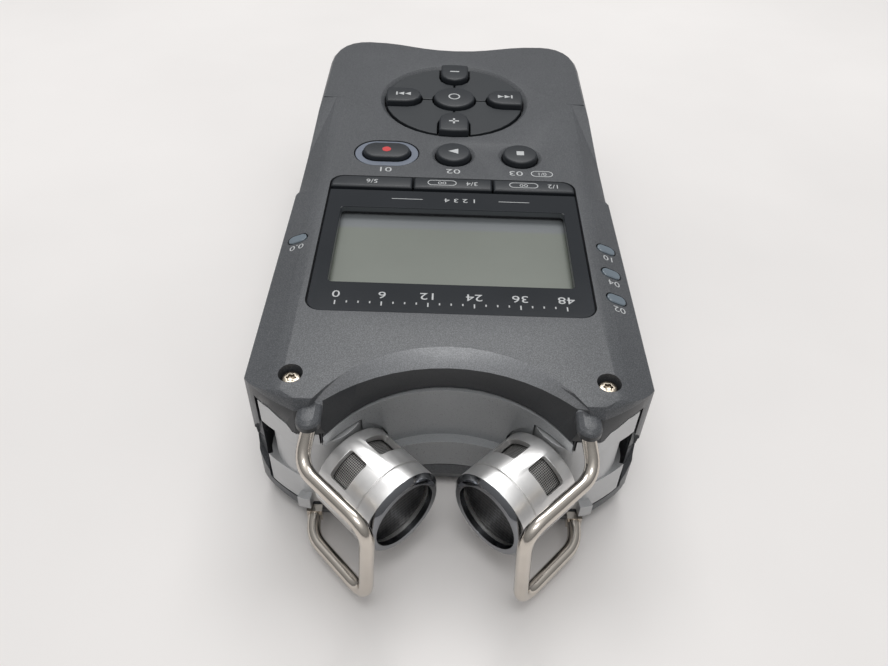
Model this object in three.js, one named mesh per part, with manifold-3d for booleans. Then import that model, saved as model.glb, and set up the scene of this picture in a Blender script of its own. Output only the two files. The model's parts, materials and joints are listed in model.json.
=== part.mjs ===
// Handheld digital recorder, millimetres, +Z up.
// The recorder lies on its back: the face with the display looks up, the microphones point to -Y,
// and the origin is the middle of the whole thing on the surface that it lies on.
// Places along Y are written from a line across the middle of the face, and centred at the end.
import * as THREE from 'three';
import { mergeVertices } from 'three/addons/utils/BufferGeometryUtils.js';
import Module from 'manifold-3d';

const wasm = await Module();
wasm.setup();

// Driving dimensions, common to several pieces
const gap = 0.3;              // running clearance between neighbouring pieces
const overrun = 1;            // how far a cut runs past the face that it opens
const width = 70;             // across the shoulders
const thickness = 35;         // back to the top of the raised keys
const keyRaise = 1.2;         // arrow keys above the face
const face = thickness - keyRaise;

// Casing
const casing = {
  wall: 2.2,
  topPlate: 2.9,
  floor: 2.6,
  seamZ: 15.2,
  stepY: 5,
  stepRun: 0.8,
  waistInset: 0.6,
  stepInset: 0.6,
  farEnd: 79.55,
  shoulderY: -49.15,
  cornerReach: 2.5,
  cornerSetback: 3.85,
  earFlatHalf: 25.5,
  farCornerRun: 13.5,
  lobeHalf: 24.3,
  farHollow: 4.1,
  topRound: 0.6,
  bottomRound: 4.2,
  slopeRun: 6,
  slopeDrop: 2.5,
  slopeEase: 1,
  slopeEnd: 46,
  slopeEndShare: 0.1,
  frontWall: 3,
  rearWall: 4.8,
  farWall: 6.9,
  cavityNear: -36.5,
  cavityRound: 6,
  lobeShare: 0.45,
  easing: 12,
};
const bottomShares = [[0, 1], [0.12, 0.62], [0.36, 0.28], [1, 0]];
const waistHalf = width / 2 - casing.waistInset;
const farHalf = waistHalf - casing.stepInset;
const cavityHalf = waistHalf - casing.frontWall;
const rearCavityHalf = waistHalf - casing.rearWall;
const cavityFar = casing.farEnd - casing.farWall;

// Bay between the microphones: the arc of its back wall at each height
const bay = {
  topRadius: 26,
  topApex: -42.55,
  browRadius: 31,
  browApex: -45.85,
  browDrop: 2,
  wallRadius: 24,
  wallApex: -45.65,
  wallDrop: 7,
  topFront: -55.35,
  browFront: -56.4,
  wallFront: -57,
  floorRadius: 29.4,
  floorApex: -48.1,
  frameRadius: 25,
  frameApex: -46.3,
  ledgeRun: 1.9,
  ledgeDrop: 19.5,
  rearDrop: 26.4,
  frameHalf: 15.6,
  frameDepth: 7.5,
  cheekHalf: 20.9,
};

// Microphone turrets, their swing and the barrels
const mic = {
  pivotX: 23.1,
  pivotY: -48.6,
  axisDrop: 18.8,
  swing: 90,
  closedTurn: 45,
  discRadius: 9.2,
  neckRadius: 8.2,
  hubRadius: 5.6,
  cornerRadius: 10.15,
  shieldFrom: -100,
  shieldTo: -20,
  shieldSlack: 2,
  stopFrom: -82,
  stopTo: -68,
  stopHeight: 2.8,
  upperTopDrop: 4.6,
  upperHeight: 5.5,
  lowerTopDrop: 19.6,
  pinRadius: 1.5,
  pinSeat: 2.2,
  barrelRadius: 8.3,
  barrelStart: 8.4,
  barrelEnd: 22.9,
  barrelWall: 1.1,
  backBevel: 0.35,
  rimBevel: 0.9,
  rimInner: 6.4,
  rimDepth: 1.1,
  grooveStart: 18.6,
  grooveWidth: 0.45,
  grooveDepth: 0.35,
  windowStart: 10.9,
  windowEnd: 15.2,
  windowHalfAngle: 20,
  windowAngle: 30,
  meshWall: 0.4,
  meshSetback: 2.1,
  capsuleRadius: 5.6,
  capsuleStart: 14,
  capsuleEnd: 19.4,
  openClearance: 0.45,
};

// Lower edge of the skirt beside each boss, as distances out from the pivot and drops below the face
const skirt = [
  { out: 3, drop: bay.wallDrop },
  { out: 3.9, drop: 5.7 },
  { out: 5.4, drop: 5.2 },
  { out: 7.1, drop: mic.upperTopDrop - gap },
];

// Wire guards and the bosses that hold them
const guard = {
  wireRadius: 1.25,
  bossX: 22.9,
  bossY: -57.9,
  legX: 24.15,
  legY: -62.5,
  upperFrontX: 12.1,
  lowerFrontX: 13.2,
  frontY: -74.2,
  heelX: 23.85,
  heelY: -63,
  upperDrop: 8.6,
  lowerDrop: 29.4,
  bend: 4,
  bossRadius: 2.05,
  bossTopDrop: 1.3,
  bossDrop: 3.3,
  bossSeat: 1.1,
  wireExit: 0.8,
  ferruleX: 24,
  ferruleHalf: 1.4,
  ferruleTop: 6.2,
  ferruleHeight: 2.8,
  ferruleDepth: 1.8,
};

// Display block: window, function keys and liquid crystal panel
const display = {
  half: 27,
  near: -34.25,
  far: 10.2,
  keyNear: 5.4,
  nearRound: 3.2,
  farRound: 3,
  recess: 1.8,
  windowDrop: 0.25,
  keyRaise: 0.3,
  keyGapX: 8.78,
  glassHalf: 23.6,
  glassNear: -25.75,
  glassFar: -1.3,
  glassDrop: 2.5,
  border: 0.9,
};

// Controls on the face
const keys = {
  bottomDrop: 3.3,
  edge: 0.35,
  slack: 0.35,
  rowY: 19.97,
  sideX: 15.44,
  recordHalf: 5.4,
  recordHalfY: 3.2,
  recordRaise: 1,
  ringHalf: 7.3,
  ringHalfY: 5.2,
  ringDrop: 0.1,
  ringRecess: 1.9,
  roundRadius: 4,
  roundRaise: 1,
  dishRadius: 5.1,
  dishDrop: 0.5,
};
const pad = {
  y: 46.65,
  radius: 17.9,
  rim: 0.9,
  rimDrop: 0.7,
  enterRadius: 5.2,
  enterRaise: 0.8,
  arrowHalf: 3.6,
  arrowInner: 8.4,
  plateDrop: 0.2,
  slot: 0.45,
};

// Status lenses on the sloped sides, and the face screws
const lens = {
  inset: 3.7,
  leftY: -12.3,
  rightY: -12.6,
  pitch: 7.55,
  half: 2,
  halfY: 1.2,
  proud: 0.15,
  depth: 1.3,
};
const faceScrew = {
  inset: 8.26,
  y: -49.9,
  headRadius: 1.65,
  headHeight: 1.1,
  headDrop: 1.1,
  slack: 0.45,
  shankRadius: 1.1,
  shankLength: 2,
  socketRadius: 0.75,
  socketDepth: 0.6,
};

// Inside and on the sides, ends and back
const board = { drop: 4.7, height: 1.6, inset: 6.4 };
const mat = { near: 1, farInset: 4.65, half: 24, top: 3.9 };
const cell = { radius: 7, length: 50, pitch: 15, y: -8.5, nubRadius: 2.6, nubLength: 1.2 };
const holder = { wall: 1.2, height: 13, slack: 2 };
const contact = { thickness: 0.6, half: 21.5, bottom: 4.2, top: 14.2, springRadius: 2.2, springReach: 0.9 };
const batteryDoor = { height: 1.8, half: 22.6, slide: 4.5, round: 3, ridge: 0.8, ridgeDepth: 0.5, ridges: 4 };
const combo = {
  x: 17.2,
  z: 14,
  radius: 10.3,
  depth: 20,
  setback: 3.3,
  cup: 9,
  cupDepth: 1.8,
  bore: 3.3,
  boreDepth: 17,
  pinRing: 6.2,
  pinBore: 1.2,
  pinDepth: 9,
  pinTurns: [0, 90, 180],
};
const socketInset = 0.4;
const phones = { y: 36.5, z: 20, radius: 3.1, bore: 1.8, boreDepth: 9, depth: 11 };
const power = { y: 34.5, z: 20, radius: 3.1, bore: 1.7, boreDepth: 7, depth: 9 };
const usb = { y: 45, z: 20, half: 4.1, halfZ: 1.8, wall: 0.5, depth: 5.5, slotDepth: 4 };
const rocker = { y: 17, z: 20.5, half: 6.2, halfZ: 2.3, proud: 0.85, sunk: 1.9, hollow: 0.45 };
const hold = {
  y: -9,
  z: 21,
  half: 2.4,
  halfZ: 1.5,
  slide: 3,
  proud: 0.6,
  sunk: 2.2,
  ribs: 3,
  ribWidth: 0.5,
  ribDepth: 0.35,
};
const cardDoor = {
  near: -24,
  far: 3,
  bottom: 5,
  top: 11.4,
  height: 1.4,
  slotHalf: 1.15,
  slotInset: 1.4,
  pinRadius: 0.6,
};
const speaker = {
  x: -14,
  y: 42,
  radius: 7.5,
  height: 4.6,
  slots: 5,
  slotPitch: 2.2,
  slotHalf: 0.6,
  shareOfRadius: 0.8,
};
const tripod = { y: 33, radius: 4.4, bore: 3.05, height: 6.5, boreDepth: 5, boss: 6.4 };
const backScrew = {
  inset: 5.1,
  y: 25.6,
  headRadius: 2.2,
  headHeight: 1.4,
  headTop: 2.6,
  shankRadius: 1.2,
  shankTop: 20,
  post: 3.2,
};

// Places that follow from the sizes above
const nearEnd = guard.frontY - guard.wireRadius;
const middleY = (casing.farEnd + nearEnd) / 2;
const lensX = width / 2 - lens.inset;
const faceScrewX = width / 2 - faceScrew.inset;
const backScrewX = farHalf - backScrew.inset;
const comboFace = casing.farEnd - combo.setback;
const socketFace = farHalf - socketInset;
const holdFace = waistHalf + hold.proud;

// Facets of round work
const fine = 36;
const medium = 24;
const small = 12;
const tiny = 6;

// Materials
function paint(color, roughness, metalness) {
  return new THREE.MeshStandardMaterial({ color, roughness, metalness });
}
const casingPaint = paint(0x5d5e60, 0.5, 0.25);
const frameMetal = paint(0x6b6d70, 0.35, 0.6);
const keyPlastic = paint(0x35393e, 0.55, 0);
const silver = paint(0xb9bbbe, 0.3, 0.9);
const brightMetal = paint(0xd6d3cc, 0.15, 1);
const blackPlastic = paint(0x17181a, 0.5, 0);
const steel = paint(0xa9a49b, 0.35, 0.9);

// Solids: geometry in, manifold out, and back
function solidOf(geometry) {
  const bare = geometry.clone();
  bare.deleteAttribute('normal');
  bare.deleteAttribute('uv');
  const merged = mergeVertices(bare);
  return new wasm.Manifold(new wasm.Mesh({
    numProp: 3,
    vertProperties: new Float32Array(merged.attributes.position.array),
    triVerts: new Uint32Array(merged.index.array),
  }));
}

function geometryOf(solid) {
  const mesh = solid.getMesh();
  const geometry = new THREE.BufferGeometry();
  geometry.setAttribute('position', new THREE.BufferAttribute(new Float32Array(mesh.vertProperties), 3));
  geometry.setIndex(new THREE.BufferAttribute(new Uint32Array(mesh.triVerts), 1));
  geometry.computeVertexNormals();
  return geometry;
}

const recorder = new THREE.Group();
function place(name, solid, material, parent = recorder) {
  const mesh = new THREE.Mesh(geometryOf(solid.translate([0, -middleY, 0])), material);
  mesh.name = name;
  parent.add(mesh);
  return mesh;
}

// Outlines
function roundedRect(x0, x1, y0, y1, near, far = near, steps = tiny) {
  const shape = new THREE.Shape();
  shape.moveTo(x0 + near, y0);
  shape.lineTo(x1 - near, y0);
  shape.absarc(x1 - near, y0 + near, near, -Math.PI / 2, 0, false);
  shape.lineTo(x1, y1 - far);
  shape.absarc(x1 - far, y1 - far, far, 0, Math.PI / 2, false);
  shape.lineTo(x0 + far, y1);
  shape.absarc(x0 + far, y1 - far, far, Math.PI / 2, Math.PI, false);
  shape.lineTo(x0, y0 + near);
  shape.absarc(x0 + near, y0 + near, near, Math.PI, Math.PI * 1.5, false);
  return closedPoints(shape.getPoints(steps));
}

function closedPoints(points) {
  const kept = points.filter((point, i) => i === 0 || point.distanceTo(points[i - 1]) > gap / 1000);
  if (kept[0].distanceTo(kept[kept.length - 1]) < gap / 1000) kept.pop();
  return kept;
}

function circle(radius, x = 0, y = 0, count = medium) {
  return Array.from({ length: count }, (_, i) => {
    const turn = (i / count) * Math.PI * 2;
    return new THREE.Vector2(x + radius * Math.cos(turn), y + radius * Math.sin(turn));
  });
}

function slot(half, halfY, x = 0, y = 0, count = tiny) {
  const round = Math.min(half, halfY);
  return roundedRect(x - half, x + half, y - halfY, y + halfY, round, round, count);
}

function insetBy(points, amount) {
  return points.map((point, i) => {
    const before = points[(i + points.length - 1) % points.length];
    const after = points[(i + 1) % points.length];
    const first = new THREE.Vector2(point.y - before.y, before.x - point.x).normalize();
    const second = new THREE.Vector2(after.y - point.y, point.x - after.x).normalize();
    const mitre = first.clone().add(second).divideScalar(1 + first.dot(second));
    const depth = typeof amount === 'function' ? amount(point) : amount;
    return point.clone().addScaledVector(mitre, -depth);
  });
}

// An inset whose directions are eased along the outline, so that tight corners don't cross
function easedInset(points, depth) {
  const count = points.length;
  let ways = insetBy(points, 1).map((inner, i) => inner.sub(points[i]));
  for (let pass = 0; pass < casing.easing; pass += 1) {
    ways = ways.map((way, i) => way.clone().multiplyScalar(2)
      .add(ways[(i + 1) % count])
      .add(ways[(i + count - 1) % count])
      .divideScalar(4));
  }
  return points.map((point, i) => point.clone().addScaledVector(ways[i], depth));
}

// A closed body through outlines of equal count, one for each height, bottom first
function loft(levels) {
  const count = levels[0].points.length;
  const positions = levels.flatMap(({ z, points }) => points.flatMap((point) => [point.x, point.y, z]));
  const index = [];
  for (let level = 0; level + 1 < levels.length; level += 1) {
    for (let i = 0; i < count; i += 1) {
      const a = level * count + i;
      const b = level * count + ((i + 1) % count);
      index.push(a, b, b + count, a, b + count, a + count);
    }
  }
  const last = (levels.length - 1) * count;
  for (const [a, b, c] of THREE.ShapeUtils.triangulateShape(levels[0].points, [])) index.push(a, c, b);
  for (const [a, b, c] of THREE.ShapeUtils.triangulateShape(levels[levels.length - 1].points, [])) {
    index.push(last + a, last + b, last + c);
  }
  const geometry = new THREE.BufferGeometry();
  geometry.setAttribute('position', new THREE.Float32BufferAttribute(positions, 3));
  geometry.setIndex(index);
  return solidOf(geometry);
}

function prism(points, z0, z1) {
  return loft([{ z: z0, points }, { z: z1, points }]);
}

function block(x0, x1, y0, y1, z0, z1) {
  const box = new THREE.BoxGeometry(x1 - x0, y1 - y0, z1 - z0);
  box.translate((x0 + x1) / 2, (y0 + y1) / 2, (z0 + z1) / 2);
  return solidOf(box);
}

function post(radius, z0, z1, x = 0, y = 0, count = medium) {
  return prism(circle(radius, x, y, count), z0, z1);
}

// A turned body about +Z, from [radius, height] pairs that start and end on the axis or close
function turned(profile, count = medium) {
  const points = profile.map(([radius, height]) => new THREE.Vector2(radius, height));
  const lathe = new THREE.LatheGeometry(points, count);
  lathe.rotateX(Math.PI / 2);
  return solidOf(lathe);
}

// Turning a +Z body so that it lies along an axis
const alongY = (solid) => solid.rotate([-90, 0, 0]);
const alongX = (solid, side) => solid.rotate([0, side * 90, 0]);
const mirrored = (solid) => solid.mirror([1, 0, 0]);
const union = (solids) => solids.reduce((whole, solid) => whole.add(solid));

// Cutting can leave crumbs that have no volume
function withoutCrumbs(solid) {
  return union(solid.decompose().filter((body) => body.volume() > gap ** 3));
}

// Casing outline at one height, right half first, then its mirror image
function casingOutline({ radius, apex, front }) {
  const drop = apex - front;
  const arcHalf = Math.sqrt(2 * radius * drop - drop * drop);
  const arcTurn = Math.asin(arcHalf / radius);
  const right = [];
  for (let i = 0; i <= tiny + 2; i += 1) {
    const turn = (arcTurn * i) / (tiny + 2);
    right.push(new THREE.Vector2(radius * Math.sin(turn), apex - radius * (1 - Math.cos(turn))));
  }
  const corner = new THREE.QuadraticBezierCurve(
    new THREE.Vector2(casing.earFlatHalf, front),
    new THREE.Vector2(width / 2 - casing.cornerReach, casing.shoulderY - casing.cornerSetback),
    new THREE.Vector2(width / 2, casing.shoulderY),
  );
  right.push(...corner.getPoints(tiny));
  right.push(new THREE.Vector2(waistHalf, casing.stepY));
  right.push(new THREE.Vector2(farHalf, casing.stepY + casing.stepRun));
  const far = casing.farEnd;
  const farCorner = new THREE.CubicBezierCurve(
    new THREE.Vector2(farHalf, far - casing.farCornerRun),
    new THREE.Vector2(farHalf, far - casing.farHollow),
    new THREE.Vector2(farHalf - casing.farHollow, far),
    new THREE.Vector2(casing.lobeHalf, far),
  );
  const hollow = new THREE.CubicBezierCurve(
    new THREE.Vector2(casing.lobeHalf, far),
    new THREE.Vector2(casing.lobeHalf * (1 - casing.lobeShare), far),
    new THREE.Vector2(casing.lobeHalf * casing.lobeShare, far - casing.farHollow),
    new THREE.Vector2(0, far - casing.farHollow),
  );
  right.push(...farCorner.getPoints(tiny));
  right.push(...hollow.getPoints(tiny).slice(1));
  const left = right.slice(1, -1).reverse().map((point) => new THREE.Vector2(-point.x, point.y));
  return [...right, ...left];
}

const topLevel = { radius: bay.topRadius, apex: bay.topApex, front: bay.topFront };
const browLevel = { radius: bay.browRadius, apex: bay.browApex, front: bay.browFront };
const wallLevel = { radius: bay.wallRadius, apex: bay.wallApex, front: bay.wallFront };
const floorLevel = { radius: bay.floorRadius, apex: bay.floorApex, front: bay.wallFront };
const outsideOnly = (amount) => (point) => (
  Math.abs(point.x) > casing.earFlatHalf || point.y > casing.shoulderY + casing.bottomRound * 4 ? amount : 0
);

function rimLevel(share) {
  const mix = (a, b) => a + (b - a) * share;
  return {
    radius: mix(browLevel.radius, topLevel.radius),
    apex: mix(browLevel.apex, topLevel.apex),
    front: mix(browLevel.front, topLevel.front),
  };
}

// The slope beside the display runs out gently towards the far end
function wedge() {
  const outer = width / 2 + overrun;
  const crease = width / 2 - casing.slopeRun;
  const fall = casing.slopeDrop / casing.slopeRun;
  const section = (share) => [
    new THREE.Vector2(crease - casing.slopeEase, face + overrun),
    new THREE.Vector2(crease - casing.slopeEase, face),
    new THREE.Vector2(crease + casing.slopeEase, face - fall * casing.slopeEase * share),
    new THREE.Vector2(outer, face - fall * (outer - crease) * share),
    new THREE.Vector2(outer, face + overrun),
  ];
  return loft([
    { z: -casing.slopeEnd, points: section(casing.slopeEndShare) },
    { z: -casing.stepY, points: section(1) },
    { z: -nearEnd, points: section(1) },
  ]).rotate([90, 0, 0]);
}

// The room that a turret and its barrel sweep, from folded in to swung out
const barrelAxisZ = face - mic.axisDrop;
const sweepRadius = mic.barrelRadius + mic.openClearance;
const earUnder = face - mic.upperTopDrop + gap;
const sweepFloor = barrelAxisZ - mic.barrelRadius - mic.openClearance;

const wallUnder = face - bay.wallDrop;
const upperTop = face - mic.upperTopDrop;
const upperBottom = upperTop - mic.upperHeight;
const lowerTop = face - mic.lowerTopDrop;
const lowerBottom = barrelAxisZ - mic.barrelRadius;
const sweepTop = barrelAxisZ + sweepRadius;

// The room of a barrel at one turn; it starts behind the barrel's back face
function barrelBay(turn) {
  const reach = mic.barrelEnd + overrun;
  const tube = post(sweepRadius, -reach, gap * 2 - mic.barrelStart, 0, 0, medium);
  return alongY(tube).translate([0, 0, barrelAxisZ]).rotate([0, 0, turn]);
}

// What lies under the skirt's lower edge, about the pivot, with or without the running clearance
function underSkirt(clear) {
  const points = skirt.map(({ out, drop }) => new THREE.Vector2(out, drop + clear));
  const reach = mic.barrelEnd;
  points.push(new THREE.Vector2(reach, skirt[skirt.length - 1].drop + clear));
  points.push(new THREE.Vector2(reach, face), new THREE.Vector2(skirt[0].out, face));
  return prism(points, 0, reach).rotate([90, 0, 0]).mirror([0, 0, 1]).translate([0, 0, face]);
}

// A slice of a round body about +Z, between two directions in degrees
function slice(radius, from, to, z0, z1) {
  const points = [new THREE.Vector2(0, 0)];
  for (let i = 0; i <= small; i += 1) {
    const turn = ((from + ((to - from) * i) / small) * Math.PI) / 180;
    points.push(new THREE.Vector2(radius * Math.cos(turn), radius * Math.sin(turn)));
  }
  return prism(points, z0, z1);
}

function sweptRoom() {
  const from = mic.shieldFrom - mic.shieldSlack;
  const mouthTo = mic.shieldTo + mic.shieldSlack;
  const sweepTo = mic.shieldTo + mic.swing + mic.shieldSlack;
  const corner = mic.cornerRadius + gap;
  const reach = (mic.barrelEnd + overrun) * Math.SQRT2;
  const lower = post(mic.discRadius + gap, sweepFloor, lowerTop + gap, 0, 0, fine);
  const lowerCorner = slice(corner, from, sweepTo, sweepFloor, lowerTop + gap);
  const neck = post(mic.neckRadius + gap, sweepFloor, upperBottom + gap, 0, 0, fine);
  const beside = slice(corner, mouthTo, sweepTo, sweepFloor, upperBottom + gap);
  const hub = post(mic.hubRadius + gap, sweepFloor, earUnder, 0, 0, fine);
  const shield = slice(corner, from, sweepTo, upperBottom - gap, wallUnder);
  const lip = slice(corner, mouthTo, sweepTo, upperBottom - gap, earUnder);
  const fan = slice(reach, -mic.swing - mic.closedTurn, mouthTo, sweepFloor, sweepTop);
  const mouth = slice(reach, from, mouthTo, upperBottom - gap, earUnder);
  const ear = block(-reach, reach, -reach, reach, wallUnder, earUnder).subtract(underSkirt(0));
  const folded = barrelBay(-mic.closedTurn);
  const open = barrelBay(mic.swing - mic.closedTurn);
  return union([lower, lowerCorner, neck, beside, hub, shield, lip, fan, mouth.subtract(ear), folded, open])
    .translate([mic.pivotX, mic.pivotY, 0]);
}

const room = sweptRoom();
const bothSides = (solid) => solid.add(mirrored(solid));

// Wire guard: one bent wire from the boss, round the front and back to the ferrule on its lower end
function guardPath() {
  const upper = face - guard.upperDrop;
  const lower = face - guard.lowerDrop;
  const mouth = face - guard.bossDrop;
  const end = guard.ferruleTop - guard.ferruleHeight / 2;
  const corners = [
    new THREE.Vector3(guard.bossX, guard.bossY, mouth + guard.bossSeat),
    new THREE.Vector3(guard.bossX, guard.bossY, mouth - guard.wireExit),
    new THREE.Vector3(guard.legX, guard.legY, upper),
    new THREE.Vector3(guard.upperFrontX, guard.frontY, upper),
    new THREE.Vector3(guard.lowerFrontX, guard.frontY, lower),
    new THREE.Vector3(guard.heelX, guard.heelY, lower),
    new THREE.Vector3(guard.ferruleX, bay.wallFront - guard.ferruleDepth / 2, end),
  ];
  const path = new THREE.CurvePath();
  let start = corners[0];
  for (let i = 1; i + 1 < corners.length; i += 1) {
    const into = corners[i - 1].clone().sub(corners[i]);
    const out = corners[i + 1].clone().sub(corners[i]);
    const run = Math.min(guard.bend, into.length() / 2, out.length() / 2);
    into.setLength(run).add(corners[i]);
    out.setLength(run).add(corners[i]);
    path.add(new THREE.LineCurve3(start, into));
    path.add(new THREE.QuadraticBezierCurve3(into, corners[i], out));
    start = out;
  }
  path.add(new THREE.LineCurve3(start, corners[corners.length - 1]));
  return path;
}

function guardSolid() {
  const section = new THREE.Shape(circle(guard.wireRadius, 0, 0, small));
  const wire = new THREE.ExtrudeGeometry(section, {
    extrudePath: guardPath(),
    steps: fine * 2,
    bevelEnabled: false,
  });
  const ferrule = block(
    guard.ferruleX - guard.ferruleHalf,
    guard.ferruleX + guard.ferruleHalf,
    bay.wallFront - guard.ferruleDepth,
    bay.wallFront - gap,
    guard.ferruleTop - guard.ferruleHeight,
    guard.ferruleTop,
  );
  return solidOf(wire).add(ferrule);
}

// Boss under each ear: a domed stub that runs back into the brow, with a blind hole for the wire
function bossSolid() {
  const bottom = face - guard.bossDrop;
  const top = face - guard.bossTopDrop;
  const dome = guard.bossRadius / 2;
  const stub = turned([
    [0, bottom],
    [guard.bossRadius, bottom],
    [guard.bossRadius, top - dome],
    [guard.bossRadius * Math.cos(Math.PI / 6), top - dome / 2],
    [guard.bossRadius / 2, top - dome * (1 - Math.cos(Math.PI / 6))],
    [0, top],
  ]).translate([guard.bossX, guard.bossY, 0]);
  const run = bay.browFront + overrun - guard.bossY;
  return stub.add(stub.translate([0, run, 0])).hull();
}

// Screws
function faceScrewSolid() {
  const head = face - faceScrew.headDrop;
  const under = head - faceScrew.headHeight;
  const socket = post(faceScrew.socketRadius, head - faceScrew.socketDepth, head + overrun, 0, 0, 6);
  return turned([
    [0, under - faceScrew.shankLength],
    [faceScrew.shankRadius, under - faceScrew.shankLength],
    [faceScrew.shankRadius, under],
    [faceScrew.headRadius, under],
    [faceScrew.headRadius, head - faceScrew.headHeight / 3],
    [faceScrew.headRadius * 0.8, head],
    [0, head],
  ], small).subtract(socket);
}

function faceScrewHole() {
  const seat = face - faceScrew.headDrop - faceScrew.headHeight - gap;
  const counterbore = post(faceScrew.headRadius + faceScrew.slack, seat, face + overrun, 0, 0, medium);
  const bore = post(
    faceScrew.shankRadius + gap,
    seat - faceScrew.shankLength - gap,
    seat + overrun,
    0,
    0,
    small,
  );
  return counterbore.add(bore);
}

function backScrewSolid() {
  const under = backScrew.headTop - backScrew.headHeight;
  const socket = post(faceScrew.socketRadius, under - overrun, under + faceScrew.socketDepth, 0, 0, 6);
  return turned([
    [0, under],
    [backScrew.headRadius, under],
    [backScrew.headRadius, backScrew.headTop],
    [backScrew.shankRadius, backScrew.headTop],
    [backScrew.shankRadius, backScrew.shankTop],
    [0, backScrew.shankTop],
  ], small).subtract(socket);
}

// Pad keys
const arrowOuter = pad.radius - pad.slot;
function arrowOutline(turn, grow = 0) {
  const outer = arrowOuter + grow * 2;
  const half = pad.arrowHalf + grow;
  const inner = pad.arrowInner - grow;
  const points = [];
  for (let i = 0; i <= tiny; i += 1) {
    const angle = Math.PI / 2 + (Math.PI * i) / tiny;
    points.push(new THREE.Vector2(inner + half + half * Math.cos(angle), half * Math.sin(angle)));
  }
  const edge = Math.asin(half / outer);
  for (let i = 0; i <= 4; i += 1) {
    const angle = -edge + (2 * edge * i) / 4;
    points.push(new THREE.Vector2(outer * Math.cos(angle), outer * Math.sin(angle)));
  }
  return points.map((point) => point.rotateAround(new THREE.Vector2(), turn));
}

function keyBody(points, bottom, top, edge = keys.edge) {
  return loft([
    { z: bottom, points },
    { z: top - edge, points },
    { z: top, points: insetBy(points, edge) },
  ]);
}

const keyBottom = face - keys.bottomDrop;
function plateSolid(quarter) {
  const turn = (quarter * Math.PI) / 2;
  const top = face - pad.plateDrop;
  const disc = post(arrowOuter, keyBottom, top, 0, 0, fine);
  const middle = post(pad.enterRadius + pad.slot, keyBottom - overrun, top + overrun);
  const half = new THREE.Vector2(pad.slot / 2, pad.slot / 2);
  const reach = pad.radius + overrun;
  const corner = prism([
    half,
    new THREE.Vector2(reach, half.y),
    new THREE.Vector2(reach, reach),
    new THREE.Vector2(half.x, reach),
  ], keyBottom - overrun, top + overrun).rotate([0, 0, quarter * 90]);
  const first = prism(arrowOutline(turn, pad.slot), keyBottom - overrun, top + overrun);
  const second = prism(arrowOutline(turn + Math.PI / 2, pad.slot), keyBottom - overrun, top + overrun);
  return disc.intersect(corner).subtract(middle).subtract(first).subtract(second);
}

// Function keys under the display window
const keyBandNear = display.keyNear;
function functionKeyOutline(column) {
  const slack = keys.slack;
  const outer = display.half - slack;
  const gapHalf = slack / 2;
  const x0 = column === -1 ? -outer : display.keyGapX * column * (column === 1 ? 1 : 0) + gapHalf;
  const left = column === 0 ? -display.keyGapX + gapHalf : x0;
  const right = column === 1 ? outer : display.keyGapX * column - gapHalf;
  const end = column === 0 ? display.keyGapX - gapHalf : right;
  const round = keys.edge * 1.2;
  const points = roundedRect(left, end, keyBandNear + slack, display.far - slack, round, round, 3);
  if (column === 0) return points;
  const cap = display.farRound;
  const flip = column === 1 ? (x) => x : (x) => left + end - x;
  const shaped = new THREE.Shape();
  shaped.moveTo(left, keyBandNear + slack);
  shaped.lineTo(end, keyBandNear + slack);
  shaped.lineTo(end, display.far - slack - cap);
  shaped.absarc(end - cap, display.far - slack - cap, cap, 0, Math.PI / 2, false);
  shaped.lineTo(left, display.far - slack);
  const outline = closedPoints(shaped.getPoints(6)).map((point) => new THREE.Vector2(flip(point.x), point.y));
  return column === 1 ? outline : outline.reverse();
}

// Lenses lie square to the sloped side
const slopeTurn = (Math.atan2(casing.slopeDrop, casing.slopeRun) * 180) / Math.PI;
function onSlope(solid, x, y) {
  const down = (casing.slopeDrop / casing.slopeRun) * (Math.abs(x) - width / 2 + casing.slopeRun);
  return solid.rotate([0, Math.sign(x) * slopeTurn, 0]).translate([x, y, face - down]);
}
const lensPlaces = [
  ['peak_lens', -lensX, lens.leftY],
  ...[0, 1, 2].map((i) => [`status_lens_${i + 1}`, lensX, lens.rightY - i * lens.pitch]),
];

// Front shell
function displayOpening() {
  const { half, near, far, nearRound, farRound } = display;
  const seat = face - display.recess;
  const pocket = prism(roundedRect(-half, half, near, keyBandNear, nearRound, gap), seat, face + overrun);
  const glass = block(
    -display.glassHalf - display.border,
    display.glassHalf + display.border,
    display.glassNear - display.border,
    display.glassFar + display.border,
    seat - casing.topPlate,
    seat + overrun,
  );
  const band = prism(
    roundedRect(-half, half, keyBandNear - overrun, far, gap, farRound),
    face - casing.topPlate - overrun,
    face + overrun,
  );
  const rib = block(-half, half, keyBandNear - overrun * 2, keyBandNear, seat - casing.topPlate * 2, seat);
  return pocket.add(glass).add(band.subtract(rib));
}

function controlOpenings() {
  const low = face - casing.topPlate - overrun;
  const high = face + overrun;
  const bottomOfRing = face - keys.ringRecess;
  const recordX = -keys.sideX;
  const cuts = [
    prism(slot(keys.ringHalf + gap, keys.ringHalfY + gap, recordX, keys.rowY), bottomOfRing, high),
    prism(slot(keys.recordHalf + keys.slack, keys.recordHalfY + keys.slack, recordX, keys.rowY), low, high),
    prism(circle(pad.radius, 0, pad.y, fine), low, high),
    loft([
      { z: face - pad.rimDrop, points: circle(pad.radius, 0, pad.y, fine) },
      { z: face, points: circle(pad.radius + pad.rim, 0, pad.y, fine) },
      { z: high, points: circle(pad.radius + pad.rim, 0, pad.y, fine) },
    ]),
  ];
  for (const x of [0, keys.sideX]) {
    const reach = keys.roundRadius + keys.slack;
    cuts.push(post(reach, low, high, x, keys.rowY));
    cuts.push(loft([
      { z: face - keys.dishDrop, points: circle(reach, x, keys.rowY) },
      { z: face, points: circle(keys.dishRadius, x, keys.rowY) },
      { z: high, points: circle(keys.dishRadius, x, keys.rowY) },
    ]));
  }
  return union(cuts);
}

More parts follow.
